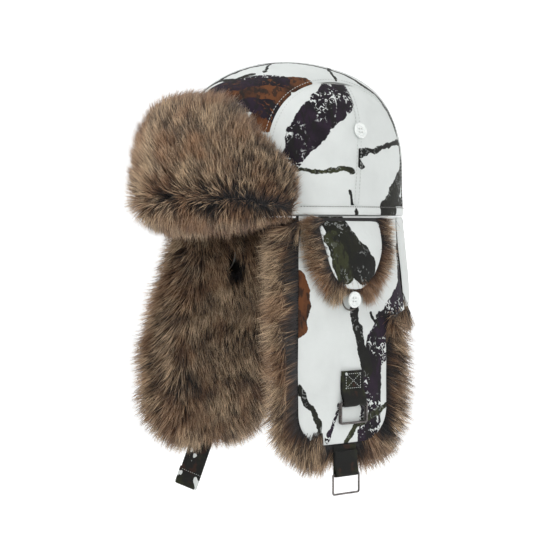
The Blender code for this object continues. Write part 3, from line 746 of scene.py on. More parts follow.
def make_layer(name, look, outer_inset, inner_inset, low, relief, steps=96, rows=30):
    """A bowl-shaped layer of the crown whose inner face has a relief."""
    bm = bmesh.new()
    layer = bm.loops.layers.uv.new("Cloth")
    places, starts = {}, []
    for inset, raised in ((outer_inset, 0.0), (inner_inset, 1.0)):
        high = CROWN_HEIGHT - inset
        start = math.asin(low / high)
        rings = []
        for k in range(rows):
            turn = mix(start, math.pi / 2, k / rows)
            ring = []
            for angle in spread(0, 2 * math.pi, steps)[:-1]:
                lift = raised * relief(angle, turn)
                vert = bm.verts.new(
                    crown_point(angle, (high + lift) * math.sin(turn) - lift * 0.5, inset - lift)
                )
                places[vert] = (angle * 0.1, turn * 0.13)
                ring.append(vert)
            rings.append(ring)
        for one, two in zip(rings, rings[1:]):
            for k in range(steps):
                n = (k + 1) % steps
                bm.faces.new((one[k], one[n], two[n], two[k]))
        pole = bm.verts.new((0, 0, high))
        places[pole] = (0.0, math.pi / 2 * 0.13)
        for k in range(steps):
            bm.faces.new((rings[-1][k], rings[-1][(k + 1) % steps], pole))
        starts.append(rings[0])
    for k in range(steps):
        n = (k + 1) % steps
        bm.faces.new((starts[0][k], starts[0][n], starts[1][n], starts[1][k]))
    map_cloth(bm, layer, places)
    return finish_mesh(name, bm, look)


def make_hoop(name, look, profile, steps=160, ripple=0.0):
    """A strip round the opening; the profile is a closed line of (outward, up) points."""
    bm = bmesh.new()
    layer = bm.loops.layers.uv.new("Cloth")
    places, rings = {}, []
    for k, angle in enumerate(spread(0, 2 * math.pi, steps)[:-1]):
        ring = []
        wave = ripple * noise.noise(Vector((math.cos(angle) * 9, math.sin(angle) * 9, 0.3)))
        for n, (out, z) in enumerate(profile):
            base = crown_point(angle, 0) + plan_normal(angle) * (out + wave)
            vert = bm.verts.new((base.x, base.y, z))
            places[vert] = (k * 0.62 / steps, n * 0.0012)
            ring.append(vert)
        rings.append(ring)
    for one, two in zip(rings, rings[1:] + rings[:1]):
        for k in range(len(profile)):
            n = (k + 1) % len(profile)
            bm.faces.new((one[k], one[n], two[n], two[k]))
    map_cloth(bm, layer, places)
    return finish_mesh(name, bm, look, 75)


def make_ribbon(name, look, path, middle, place, width=STRAP_WIDTH, thick=WEBBING):
    """Webbing folded along (outward, drop) points, with rounded selvedges."""
    bm = bmesh.new()
    layer = bm.loops.layers.uv.new("Cloth")
    places, skins = {}, []
    across = [-1, -0.97, -0.88, -0.6, -0.3, 0, 0.3, 0.6, 0.88, 0.97, 1]
    run = [0.0]
    for one, two in zip(path, path[1:]):
        run.append(run[-1] + math.dist(one, two))
    for level in (-1, 1):
        rows = []
        for k, (out, drop) in enumerate(path):
            before, after = path[max(k - 1, 0)], path[min(k + 1, len(path) - 1)]
            along = Vector((after[0] - before[0], after[1] - before[1])).normalized()
            row = []
            for share in across:
                full = 0.45 if abs(share) == 1 else 0.8 if abs(share) > 0.95 else 1.0
                half = thick / 2 * level * full
                spot = Vector(
                    (out + along.y * half, middle + share * width / 2, -(drop - along.x * half))
                )
                vert = bm.verts.new(place @ spot)
                places[vert] = (share * width / 2, run[k])
                row.append(vert)
            rows.append(row)
        skins.append(rows)
        grid_faces(bm, rows)
    close_rim(bm, *skins)
    map_cloth(bm, layer, places)
    piece = finish_mesh(name, bm, look, 75)
    piece["flat"] = (width, run[-1], width * run[-1])
    return piece


def fold_round(centre, radius, start, end, steps=10):
    """Points of a fold round a wire, from one angle to another."""
    turns = spread(start, end, steps)
    return [(centre[0] + radius * math.cos(a), centre[1] + radius * math.sin(a)) for a in turns]


def refine(path, step=0.0015):
    """The same line with more points on its long straight runs."""
    fine = [path[0]]
    for one, two in zip(path, path[1:]):
        count = max(1, round(math.dist(one, two) / step))
        shares = [k / count for k in range(1, count + 1)]
        fine += [(mix(one[0], two[0], t), mix(one[1], two[1], t)) for t in shares]
    return fine


# Geometry Nodes: stitches


def new_tree(name, inputs):
    """A Geometry Nodes tree with named inputs, given as (name, socket type)."""
    tree = bpy.data.node_groups.new(name, "GeometryNodeTree")
    tree.interface.new_socket("Geometry", in_out="INPUT", socket_type="NodeSocketGeometry")
    for label, kind in inputs:
        tree.interface.new_socket(label, in_out="INPUT", socket_type=kind)
    tree.interface.new_socket("Geometry", in_out="OUTPUT", socket_type="NodeSocketGeometry")
    w = Wiring(tree)
    return tree, w, w.node("NodeGroupInput").outputs


def grow(source, tree, values, name):
    """The plain mesh that a tree makes from the source object, which is then removed."""
    step = source.modifiers.new(tree.name, "NODES")
    step.node_group = tree
    for item in tree.interface.items_tree:
        if item.in_out == "INPUT" and item.name in values:
            step[item.identifier] = values[item.name]
    evaluated = source.evaluated_get(bpy.context.evaluated_depsgraph_get())
    mesh = bpy.data.meshes.new_from_object(evaluated)
    mesh.name = name
    piece = bpy.data.objects.new(name, mesh)
    bpy.context.collection.objects.link(piece)
    bpy.data.objects.remove(source)
    return piece


def stitch_tree():
    """One stitch at every step along each line of the source mesh."""
    known = bpy.data.node_groups.get("stitch rows")
    if known:
        return known
    tree, w, given = new_tree(
        "stitch rows",
        (
            ("Pitch", "NodeSocketFloat"), ("Stitch", "NodeSocketObject"),
            ("Material", "NodeSocketMaterial")
        ),
    )
    line = w.node("GeometryNodeMeshToCurve", given["Geometry"]).outputs[0]
    dots = w.node(
        "GeometryNodeResampleCurve", line, mode="LENGTH", sockets={"Length": given["Pitch"]}
    )
    tangent = w.node("GeometryNodeInputTangent").outputs[0]
    turn = w.node(
        "FunctionNodeAlignRotationToVector", sockets={"Vector": tangent}, axis="X"
    ).outputs[0]
    shape = w.node(
        "GeometryNodeObjectInfo", sockets={"Object": given["Stitch"]}
    ).outputs["Geometry"]
    rows = w.node(
        "GeometryNodeInstanceOnPoints",
        sockets={"Points": dots.outputs[0], "Instance": shape, "Rotation": turn},
    )
    solid = w.node("GeometryNodeRealizeInstances", rows.outputs[0]).outputs[0]
    done = w.node(
        "GeometryNodeSetMaterial", sockets={"Geometry": solid, "Material": given["Material"]}
    )
    w.node("NodeGroupOutput", done.outputs[0])
    return tree


def stitch_shape(length, thick):
    """A single stitch: a short rounded run of thread along X."""
    bm = bmesh.new()
    bmesh.ops.create_uvsphere(bm, u_segments=6, v_segments=5, radius=0.5)
    turn = Matrix.Rotation(math.pi / 2, 4, "Y")
    bmesh.ops.transform(bm, matrix=turn, verts=bm.verts)
    for vert in bm.verts:
        vert.co = Vector((vert.co.x * length, vert.co.y * thick, vert.co.z * thick))
    return bm


def make_stitches(name, body, lines, look, pitch=0.0030, length=0.0021, thick=0.00055):
    """Rows of stitches along lines of points."""
    shape = finish_mesh(name + " thread", stitch_shape(length, thick), look)
    bm = bmesh.new()
    for line in lines:
        verts = [bm.verts.new(p) for p in line]
        for one, two in zip(verts, verts[1:]):
            bm.edges.new((one, two))
    mesh = bpy.data.meshes.new(name + " lines")
    bm.to_mesh(mesh)
    bm.free()
    source = bpy.data.objects.new(name + " lines", mesh)
    bpy.context.collection.objects.link(source)
    piece = grow(source, stitch_tree(), {"Pitch": pitch, "Stitch": shape, "Material": look}, name)
    bpy.data.objects.remove(shape)
    piece.data.shade_smooth()
    return settle(piece, body, "thread")


# Geometry Nodes: fur


def fur_tree():
    """Tapered strands over the source mesh, combed by its own attributes and gathered in locks."""
    known = bpy.data.node_groups.get("fur strands")
    if known:
        return known
    tree, w, given = new_tree(
        "fur strands",
        (
            ("Strands per area", "NodeSocketFloat"),
            ("Locks per area", "NodeSocketFloat"),
            ("Length", "NodeSocketFloat"),
            ("Gathering", "NodeSocketFloat"),
            ("Ruffle", "NodeSocketFloat"),
            ("Seed", "NodeSocketInt"),
            ("Strand", "NodeSocketObject"),
            ("Material", "NodeSocketMaterial"),
        ),
    )
    skin = given["Geometry"]

    def named(label, kind):
        return w.node("GeometryNodeInputNamedAttribute", label, data_type=kind).outputs[0]

    cover = named("cover", "FLOAT")
    reach = named("reach", "FLOAT")
    comb = named("comb", "FLOAT_VECTOR")
    place = w.node("GeometryNodeInputPosition").outputs[0]

    def scatter(per_area, extra_seed):
        seed = w.math("ADD", given["Seed"], extra_seed)
        made = w.node(
            "GeometryNodeDistributePointsOnFaces",
            sockets={"Mesh": skin, "Density": w.math("MULTIPLY", per_area, cover), "Seed": seed},
        )
        return made.outputs["Points"]

    def random_vector(seed, ident=None):
        made = w.node("FunctionNodeRandomValue", data_type="FLOAT_VECTOR")
        made.inputs[0].default_value = (-1, -1, -1)
        made.inputs[1].default_value = (1, 1, 1)
        made.inputs["Seed"].default_value = seed
        if ident:
            w.link_or_set(ident, made.inputs["ID"])
        return made.outputs[0]

    def random_share(seed, ident=None):
        made = w.node("FunctionNodeRandomValue", data_type="FLOAT")
        made.inputs["Seed"].default_value = seed
        if ident:
            w.link_or_set(ident, made.inputs["ID"])
        return made.outputs[1]

    roots = scatter(given["Strands per area"], 0)
    locks = scatter(given["Locks per area"], 11)
    nearest = w.node(
        "GeometryNodeSampleNearest", sockets={"Geometry": locks}, domain="POINT"
    ).outputs[0]

    def of_lock(value, kind):
        made = w.node("GeometryNodeSampleIndex", data_type=kind, domain="POINT")
        w.link_or_set(locks, made.inputs["Geometry"])
        w.link_or_set(value, made.inputs["Value"])
        w.link_or_set(nearest, made.inputs["Index"])
        return made.outputs[0]

    size = w.math("MULTIPLY", reach, given["Length"])
    sway = w.node("ShaderNodeTexNoise", sockets={"Vector": place, "Scale": 28.0, "Detail": 2.0})
    swayed = w.scale(w.vector("SUBTRACT", sway.outputs["Color"], (0.5, 0.5, 0.5)), 0.9)
    own = w.vector("ADD", w.vector("ADD", comb, swayed), w.scale(random_vector(1), given["Ruffle"]))
    own_tip = w.vector("ADD", place, w.scale(w.vector("NORMALIZE", own), size))
    lock_comb = of_lock(comb, "FLOAT_VECTOR")
    lock_ruffle = w.scale(random_vector(2, nearest), w.math("MULTIPLY", given["Ruffle"], 0.8))
    lock_way = w.vector(
        "NORMALIZE", w.vector("ADD", w.vector("ADD", lock_comb, swayed), lock_ruffle)
    )
    lock_tip = w.vector(
        "ADD", of_lock(place, "FLOAT_VECTOR"), w.scale(lock_way, w.math("MULTIPLY", size, 1.08))
    )
    tip = w.node("ShaderNodeMix", data_type="VECTOR")
    w.link_or_set(given["Gathering"], tip.inputs[0])
    w.link_or_set(own_tip, tip.inputs[4])
    w.link_or_set(lock_tip, tip.inputs[5])
    way = w.vector("SUBTRACT", tip.outputs[1], place)
    side = w.vector("ADD", w.vector("SCALE", random_vector(3)), (0.0, 0.0, -0.5))
    turn = w.node(
        "FunctionNodeAxesToRotation", way, side, primary_axis="Z", secondary_axis="X"
    ).outputs[0]
    long = w.math(
        "MULTIPLY", w.vector("LENGTH", way),
        w.ramp(random_share(4), 0.0, 1.0, 0.72, 1.12, smooth=False)
    )
    marked = roots
    for label, value in (("tone", random_share(5)), ("lock_tone", random_share(6, nearest))):
        made = w.node(
            "GeometryNodeStoreNamedAttribute",
            sockets={"Geometry": marked, "Name": label, "Value": value},
            data_type="FLOAT",
            domain="POINT",
        )
        marked = made.outputs[0]
    strand = w.node(
        "GeometryNodeObjectInfo", sockets={"Object": given["Strand"]}
    ).outputs["Geometry"]
    scale = w.node("ShaderNodeCombineXYZ", long, long, long).outputs[0]
    pile = w.node(
        "GeometryNodeInstanceOnPoints",
        sockets={"Points": marked, "Instance": strand, "Rotation": turn, "Scale": scale},
    )
    solid = w.node("GeometryNodeRealizeInstances", pile.outputs[0]).outputs[0]
    both = w.node("GeometryNodeJoinGeometry")
    w.tree.links.new(skin, both.inputs[0])
    w.tree.links.new(solid, both.inputs[0])
    done = w.node(
        "GeometryNodeSetMaterial",
        sockets={"Geometry": both.outputs[0], "Material": given["Material"]}
    )
    w.node("NodeGroupOutput", done.outputs[0])
    return tree


def strand_shape(look, width=0.020, bend=0.16):
    """One strand of unit length: a three-sided taper that bends towards +X."""
    bm = bmesh.new()
    along = bm.verts.layers.float.new("along")
    rings = []
    for t, share in ((0.0, 0.9), (0.55, 0.85)):
        ring = []
        for k in range(3):
            angle = 2 * math.pi * k / 3
            spot = (
                bend * t * t + width * share * math.cos(angle) / 2,
                width * share * math.sin(angle) / 2, t
            )
            vert = bm.verts.new(spot)
            vert[along] = t
            ring.append(vert)
        rings.append(ring)
    tip = bm.verts.new((bend, 0, 0.985))
    tip[along] = 1.0
    for one, two in zip(rings, rings[1:]):
        for k in range(3):
            bm.faces.new((one[k], one[(k + 1) % 3], two[(k + 1) % 3], two[k]))
    for k in range(3):
        bm.faces.new((rings[-1][k], rings[-1][(k + 1) % 3], tip))
    bm.faces.new(rings[0][::-1])
    return finish_mesh("fur strand", bm, look, 180)


def fur_look(name, russet):
    """Faux fur: dark at the root, brown, then tan at the tip, with each lock its own shade."""
    hat = bpy.context.scene.hat_colours
    look, w, shader = start_look(name, 0.62, 0.10)
    along = w.node("ShaderNodeAttribute", attribute_name="along").outputs["Fac"]
    tone = w.node("ShaderNodeAttribute", attribute_name="tone").outputs["Fac"]
    lock = w.node("ShaderNodeAttribute", attribute_name="lock_tone").outputs["Fac"]
    shift = w.math("MULTIPLY_ADD", w.math("SUBTRACT", lock, 0.5), 0.30, along)
    shift = w.math("MULTIPLY_ADD", w.math("SUBTRACT", tone, 0.5), 0.55, shift)
    place = object_place(w)
    band = w.cloud(place, 60.0, 2.0)
    shift = w.math("MULTIPLY_ADD", w.math("SUBTRACT", band, 0.5), 0.8, shift)
    first = w.blend(w.ramp(shift, 0.26, 0.64), rgba(hat.fur_root), rgba(hat.fur_middle))
    colour = w.blend(w.ramp(shift, 0.56, 1.0), first, rgba(hat.fur_tip))
    drift = w.cloud(place, 34.0, 2.0)
    warm = w.math("MULTIPLY", w.ramp(drift, 0.42, 0.60), w.math("MULTIPLY", along, russet))
    colour = w.blend(warm, colour, rgba(hat.fur_russet))
    shade = w.ramp(w.math("ADD", lock, tone), 0.0, 2.0, 0.60, 1.30, smooth=False)
    grey = w.node("ShaderNodeCombineColor", shade, shade, shade).outputs[0]
    w.link_or_set(w.blend(1.0, colour, grey, "MULTIPLY"), shader.inputs["Base Color"])
    w.link_or_set(w.ramp(along, 0.0, 1.0, 0.85, 0.5), shader.inputs["Roughness"])
    return look


def make_fur(name, body, node, place, comb, across, down, look, settings, hole=None):
    """A pad with its pile: comb(u, v, inner) gives (down, across, out) parts, reach and cover."""
    bm = bmesh.new()
    layers = {k: bm.verts.layers.float.new(k) for k in ("cover", "reach")}
    way = bm.verts.layers.float_vector.new("comb")
    skins = []
    for inner in (False, True):
        points = np.array([[place(u, v, inner) for u in across] for v in down], dtype=float)
        along_u, along_v = np.gradient(points, axis=1), np.gradient(points, axis=0)
        along_u /= np.linalg.norm(along_u, axis=2, keepdims=True) + 1e-9
        along_v /= np.linalg.norm(along_v, axis=2, keepdims=True) + 1e-9
        out = grid_normals(points, inner)
        rows = []
        for k, v in enumerate(down):
            row = []
            for n, u in enumerate(across):
                vert = bm.verts.new(points[k, n])
                parts, reach, cover = comb(u, v, inner)
                aim = parts[0] * along_v[k, n] + parts[1] * along_u[k, n] + parts[2] * out[k, n]
                vert[way] = Vector(aim) + (parts[3] if len(parts) > 3 else Vector())
                vert[layers["reach"]] = reach
                vert[layers["cover"]] = cover
                row.append(vert)
            rows.append(row)
        skins.append(rows)
        grid_faces(bm, rows)
    close_rim(bm, *skins)
    if hole:
        cut_hole(bm, skins, hole)
    skin = finish_mesh(name + " skin", bm, look, 180)
    strand = strand_shape(look, settings.get("width", 0.020))
    values = {
        "Strands per area": settings["strands"],
        "Locks per area": settings["locks"],
        "Length": settings["length"],
        "Gathering": settings.get("gathering", 0.45),
        "Ruffle": settings.get("ruffle", 0.28),
        "Seed": settings.get("seed", 3),
        "Strand": strand,
        "Material": look,
    }
    piece = grow(skin, fur_tree(), values, name)
    bpy.data.objects.remove(strand)
    piece.data.shade_smooth()
    if "bend" in settings:
        bend_from_crown(piece, settings["bend"], node)
    else:
        settle(piece, body, "fur", node)
    return piece


# Settings shown in the sidebar


def colour_property(name, description, value):
    """A colour that can be changed in the sidebar."""
    return FloatVectorProperty(
        name=name, description=description, subtype="COLOR", size=3, min=0, max=1, default=value
    )


def length_property(name, description, value):
    """A length in metres that can be changed in the sidebar."""
    return FloatProperty(
        name=name, description=description, subtype="DISTANCE", unit="LENGTH", default=value
    )


class HatColours(bpy.types.PropertyGroup):
    """Colours of the cloth, its print and the fur."""

    cloth: colour_property("Cloth", "White of the poplin", (0.70, 0.73, 0.715))
    branch: colour_property("Branch", "Printed branches", (0.015, 0.016, 0.009))
    branch_deep: colour_property(
        "Branch shade", "Darker side of the printed branches", (0.010, 0.010, 0.009)
    )
    leaf: colour_property("Leaf", "Printed leaves", (0.022, 0.012, 0.025))
    leaf_deep: colour_property(
        "Leaf shade", "Darker part of the printed leaves", (0.009, 0.006, 0.010)
    )
    brown: colour_property("Bark", "Printed bark patches", (0.030, 0.014, 0.009))
    russet: colour_property("Bark light", "Lighter bark patches", (0.125, 0.045, 0.016))
    olive: colour_property("Twig", "Printed olive twigs", (0.038, 0.042, 0.018))
    fur_root: colour_property("Fur root", "Fur at its root", (0.016, 0.014, 0.015))
    fur_middle: colour_property("Fur middle", "Fur along its middle", (0.165, 0.095, 0.050))
    fur_tip: colour_property("Fur tip", "Fur at its tip", (0.640, 0.470, 0.300))
    fur_russet: colour_property("Fur warm", "Warmer patches of the fur", (0.300, 0.130, 0.050))
    lining: colour_property("Lining", "Quilted lining and sweatband", (0.020, 0.018, 0.022))
    wire: colour_property("Wire", "Nickel-plated wire", (0.200, 0.185, 0.180))


class HatFur(bpy.types.PropertyGroup):
    """Length and density of the pile."""

    front_length: length_property("Front pile", "Pile of the front flap", 0.023)
    ear_length: length_property("Ear pile", "Pile of the ear flaps", 0.024)
    cover_length: length_property("Cover pile", "Pile of the ear covers", 0.0195)
    neck_length: length_property("Neck pile", "Pile of the neck flap", 0.022)
    strands: FloatProperty(
        name="Strands", description="Strands per square metre", default=1000000.0, min=1000
    )
    locks: FloatProperty(
        name="Locks", description="Gathered locks per square metre", default=45000.0, min=100
    )


class HatStage(bpy.types.PropertyGroup):
    """Where the camera stands and how bright the studio is."""

    azimuth: FloatProperty(
        name="Azimuth", description="Camera's turn from the front", default=50.93
    )
    elevation: FloatProperty(
        name="Elevation", description="Camera's height in degrees", default=1.73
    )
    distance: length_property("Distance", "Camera to the hat", 1.36)
    lens: FloatProperty(name="Lens", description="Focal length in millimetres", default=99.65)
    side_shift: length_property("Side shift", "Aim point, sideways", -0.01344)
    aim_height: length_property("Aim height", "Aim point, up", -0.05354)
    floor_drop: length_property("Floor", "The floor below the opening", 0.42)
    light: FloatProperty(name="Light", description="Brightness of the lights", default=1.0, min=0)


# Crown


def make_crown_panels():
    """The top panel and the four side panels, each printed on its own."""
    look = print_look("printed top", "crown", 1, TOP_BRANCHES, TOP_LEAVES, TOP_BROWNS)
    top = make_cloth(
        "top_panel", top_point, spread(-1, 1, 56), spread(0, 1, 110), look,
        puff=0.0013, crease=0.0010
    )
    settle(top, "crown", "poplin", "crown_top_panel")
    for side, facing in SIDES.items():
        for end, strokes in SIDE_PRINTS.items():
            look = print_look("printed side {} {}".format(end, side), "crown", facing, *strokes)
            piece = make_cloth(
                "side_panel_{}_{}".format(side, end),
                lambda u, v: side_point(facing, end, u, v),
                spread(0, 1, 40),
                spread(0, 1, 48),
                look,
                puff=0.0014,
                crease=0.0010,
            )
            settle(piece, "crown", "poplin", "crown_side_{}_{}".format(side, end))


def make_band():
    """The turned-up hem round the crown's lower edge."""
    look = print_look("printed band", "crown", 1, BAND_BRANCHES)
    low, high = -0.0006, BAND_HEIGHT
    profile = [(0.0005, low + 0.0004), (0.0009, low), (0.0013, low + 0.0004), (0.0016, low + 0.002)]
    profile += [
        (0.0016, high - 0.002), (0.0013, high - 0.0005), (0.0009, high), (0.0005, high - 0.0004)
    ]
    profile += [(0.0004, high / 2)]
    band = make_hoop("band", look, profile, 200, 0.0004)
    settle(band, "crown", "poplin", "crown_band")


def lining_look():
    """Dark satin, a little glossy, with its quilting in the mesh."""
    look, w, shader = start_look("satin lining", 0.38, 0.3)
    place = object_place(w)
    fine = w.cloud(place, 700.0, 2.0)
    drift = w.cloud(place, 25.0, 3.0)
    colour = rgba(bpy.context.scene.hat_colours.lining)
    light = rgba([c * 1.9 for c in colour[:3]])
    w.link_or_set(w.blend(w.ramp(drift, 0.3, 0.7), colour, light), shader.inputs["Base Color"])
    w.link_or_set(w.ramp(fine, 0.3, 0.7, 0.32, 0.5), shader.inputs["Roughness"])
    weave = weave_height(w, 0.0004)
    w.bump(shader, 0.4, 0.00004, weave)
    return look


def wadding_look():
    """Lofty white wadding, with painted shade in the hollows between its lumps."""
    look, w, shader = start_look("white wadding", 0.95, 0.4)
    place = object_place(w)
    lumps = w.cloud(place, 160.0, 5.0)
    # Painted shade: the wadding is darker where its bumped lumps dip and lighter on their tops.
    tone = w.ramp(lumps, 0.3, 0.75)
    w.link_or_set(
        w.blend(tone, (0.70, 0.70, 0.68, 1), (0.88, 0.88, 0.86, 1)), shader.inputs["Base Color"]
    )
    w.bump(shader, 0.7, 0.001, lumps)
    return look


def make_inside():
    """The wadding under the panels, the quilted lining and the sweatband."""

    def lumps(angle, turn):
        spot = Vector((math.cos(angle) * 5, math.sin(angle) * 5, turn * 5))
        return 0.0004 * noise.noise(spot)

    def quilting(angle, turn):
        across, up = angle * 16 / math.pi, turn * 7 / math.pi * 2
        ridge = abs(
            math.sin(math.pi * (across + up) / 2)
        ) * abs(math.sin(math.pi * (across - up) / 2))
        fade = ease((math.pi / 2 - turn) / 0.25)
        return 0.0018 * math.sqrt(ridge) * fade

    wadding = make_layer("wadding", wadding_look(), 0.0021, 0.0058, 0.0032, lumps, 64, 20)
    settle(wadding, "crown", "wadding", "crown_wadding")
    satin = lining_look()
    lining = make_layer("quilted_lining", satin, 0.0064, 0.0075, 0.0012, quilting, 192, 48)
    settle(lining, "crown", "lining", "crown_lining")
    inner = -0.0075 - 0.0011
    profile = [(inner, 0.0022), (inner, 0.0312), (inner - 0.0004, 0.0318), (inner - 0.0009, 0.0312)]
    profile += [
        (inner - 0.0011, 0.026), (inner - 0.0011, 0.008), (inner - 0.0009, 0.0026),
        (inner - 0.0004, 0.0021)
    ]
    sweat = make_hoop("sweatband_strip", satin, profile, 160, 0.0003)
    settle(sweat, "crown", "lining", "sweatband")


# Front flap


def front_fur_place(u, v, inner):
    """The front fur's pad: full in the middle, thinner at its ends, top and bottom."""
    across = 0.93 * u
    low = -0.004 + 0.003 * u * u
    high = front_height(across) + 0.005
    z = mix(low, high, v)
    if inner:
        return front_place(across, z, CLOTH + 0.0003)
    end = 0.30 + 0.70 * math.sqrt(max(0.0, 1 - abs(u) ** 3.2))
    up = 0.30 + 0.70 * math.sqrt(max(0.0, 1 - abs(2 * v - 1) ** 3.0))
    return front_place(across, z, CLOTH + 0.0003 + 0.80 * FRONT_FUR_DEPTH * end * up)


def front_comb(u, v, inner):
    """Pile lies upwards, except under the parting near the fold, where it falls."""
    side = max(0.0, abs(u) - 0.72) / 0.28 * (1 if u > 0 else -1)
    rim = v > 0.9 or (v > 0.15 and abs(u) > 0.95)
    if inner:
        return ((0.9, 0.2 * side, 0.25), 0.7, 0.5 if rim else 0.0)
    rise = ease((v - 0.09) / 0.15)
    short = 1 - 0.45 * ease((abs(u) - 0.45) / 0.5)
    parts = (
        mix(-1.0, 0.95, rise), 0.30 * side, mix(0.55, 0.36, v) + 0.30 * (1 - abs(2 * rise - 1))
    )
    return (parts, mix(0.92, 0.95, rise) * short, 1.15)


def make_front_flap():
    """The cloth against the crown and the fur that faces forward."""
    look = print_look("printed front flap", "crown", 1, TOP_BRANCHES[:2])

    def cloth_place(u, v):
        return front_place(u, mix(0.0006, front_height(u), v), CLOTH)

    shell = make_cloth(
        "front_cloth", cloth_place, spread(-1, 1, 60), spread(0, 1, 20), look, 0.0, 0.0
    )
    bend_from_crown(shell, -0.030, "front_flap_shell")
    fur = bpy.context.scene.hat_fur
    look = fur_look("front fur", 0.7)
    settings = {"strands": fur.strands, "locks": fur.locks, "length": fur.front_length, "seed": 3}
    settings["bend"] = -0.030
    make_fur(
        "front_fur", "front_flap", "front_flap_fur", front_fur_place, front_comb,
        spread(-1, 1, 44), spread(0, 1, 22), look, settings,
    )


# Ear flaps


def ear_rows(past, count):
    """Drops down the ear flap, closer together round the lower corners."""
    corner = EAR_LENGTH - EAR_CORNER
    straight = spread(EAR_TOP, corner, count)[:-1]
    deep = EAR_CORNER + past
    return straight + [corner + deep * math.sin(math.radians(a)) for a in spread(0, 87, count // 3)]


def in_ear_hole(spot):
    """Whether a point is inside the opening over the ear."""
    y, drop, half_y, half_z = EAR_HOLE
    return ((spot[1] - y) / half_y) ** 2 + ((spot[2] + drop) / half_z) ** 2 < 1


def snap_to_ear_hole(spot):
    """The same point moved onto the opening's outline."""
    y, drop, half_y, half_z = EAR_HOLE
    out = Vector(((spot[1] - y) / half_y, (spot[2] + drop) / half_z)).normalized()
    return Vector((spot[0], y + out.x * half_y, out.y * half_z - drop))


def ear_fur_place(facing):
    """The ear fur's pad, for one side."""

    def place(u, drop, inner):
        front, back = ear_edges(drop, 0.004)
        y = mix(front, back, u)
        if not inner:
            return ear_place(facing, y, drop, -CLOTH / 2 - 0.0006)
        round_off = 0.42 + 0.58 * math.sqrt(max(0.0, 1 - abs(2 * u - 1) ** 4))
        top = 0.30 + 0.70 * ease((drop - 0.002) / 0.040)
        end = 0.30 + 0.70 * math.sqrt(max(0.0, 1 - ease((drop - 0.160) / 0.040) ** 2))
        return ear_place(facing, y, drop, -0.0016 - 0.60 * EAR_FUR_DEPTH * round_off * top * end)

    return place


def strap_gap(u, drop):
    """How close a place on the ear flap's lower edge is to the strap that leaves it."""
    front, back = ear_edges(min(drop, EAR_LENGTH - 0.004))
    middle = sum(ear_edges(EAR_LENGTH - 0.005)) / 2
    away = abs(mix(front, back, u) - middle) - STRAP_WIDTH / 2
    return (1 - ease(away / 0.007)) * ease((drop - 0.160) / 0.012)


def ear_comb(u, drop, inner):
    """Pile falls down the inner face, and stands out past the cloth's edges."""
    front, back = max(0.0, 1 - u / 0.18), max(0.0, (u - 0.82) / 0.18)
    low = ease((drop - 0.158) / 0.03)
    edge = back * ease((drop - EAR_WAIST_TOP) / 0.02) - front * ease((drop - 0.001) / 0.01)
    ends = ear_edges(min(drop, EAR_LENGTH - 0.004))
    middle = sum(ear_edges(EAR_LENGTH - 0.020)) / 2
    fan = Vector((0, (mix(*ends, u) - middle) / 0.049, -1.0)) * low
    if inner:
        return (
            (0.95 * (1 - low), 1.5 * edge * (1 - low), 0.38, fan),
            1.0 + 0.3 * abs(edge) * (1 - low), 0.85
        )
    rim = max(front, back if drop > 0.084 else 0.0, low)
    if rim < 0.02:
        return ((1.0, 0.0, 0.0), 0.5, 0.0)
    strap = strap_gap(u, drop)
    parts = (0.42 * (1 - low), 1.5 * edge * (1 - low), mix(0.16, -1.2, strap), fan)
    return (parts, mix(1.12 + 0.33 * front * (1 - low), 0.8, strap), 2.2 * (rim > 0.72))


def make_ear_flaps():
    """On each side the printed cloth, open over the ear, and its fur lining."""
    fur = bpy.context.scene.hat_fur
    pile = fur_look("ear fur", 0.5)
    for side, facing in SIDES.items():
        look = print_look(
            "printed ear flap " + side, "ear", facing, EAR_BRANCHES, EAR_LEAVES, EAR_BROWN, EAR_TWIGS
        )

        def cloth_place(u, drop):
            front, back = ear_edges(drop)
            return ear_place(facing, mix(front, back, u), drop, CLOTH / 2)

        shell = make_cloth(
            "ear_cloth_" + side, cloth_place, spread(0, 1, 56), ear_rows(0, 78), look,
            puff=0.0014, crease=0.0021, hole=(in_ear_hole, snap_to_ear_hole),
        )
        settle(shell, "ear_flap_" + side, "poplin", "ear_flap_{}_shell".format(side))
        settings = {
            "strands": fur.strands, "locks": fur.locks, "length": fur.ear_length,
            "seed": 20 + facing, "ruffle": 0.24,
        }
        make_fur(
            "ear_fur_" + side, "ear_flap_" + side, "ear_flap_{}_fur".format(side),
            ear_fur_place(facing), ear_comb, spread(0, 1, 34), ear_rows(0.004, 48), pile, settings,
            (in_ear_hole, snap_to_ear_hole),
        )


# Ear covers


def cover_comb(u, drop, inner):
    """Pile stands out all round the cover's cloth, and parts at the button below it."""
    edge = max(0.0, abs(u) - 0.6) / 0.4
    low = ease((drop - 0.040) / 0.020)
    rim = max(edge, low)
    sign = 1 if u > 0 else -1
    across = u * cover_half(drop, COVER_LENGTH, COVER_HALF_WIDTH)
    button = (1 - ease((abs(across) - 0.003) / 0.006)) * ease((drop - 0.050) / 0.008)
    fan = Vector((0, across / 0.026 + 0.9 * button * sign, -1.1)) * low
    parts = (0.12 * (1 - low), 1.1 * edge * sign * (1 - low), mix(0.08, -0.2, button), fan)
    reach = mix(mix(0.7, 1.0, rim), 0.42, button)
    return (parts, reach, (3.2 if not inner else 1.6) * (rim > 0.5))


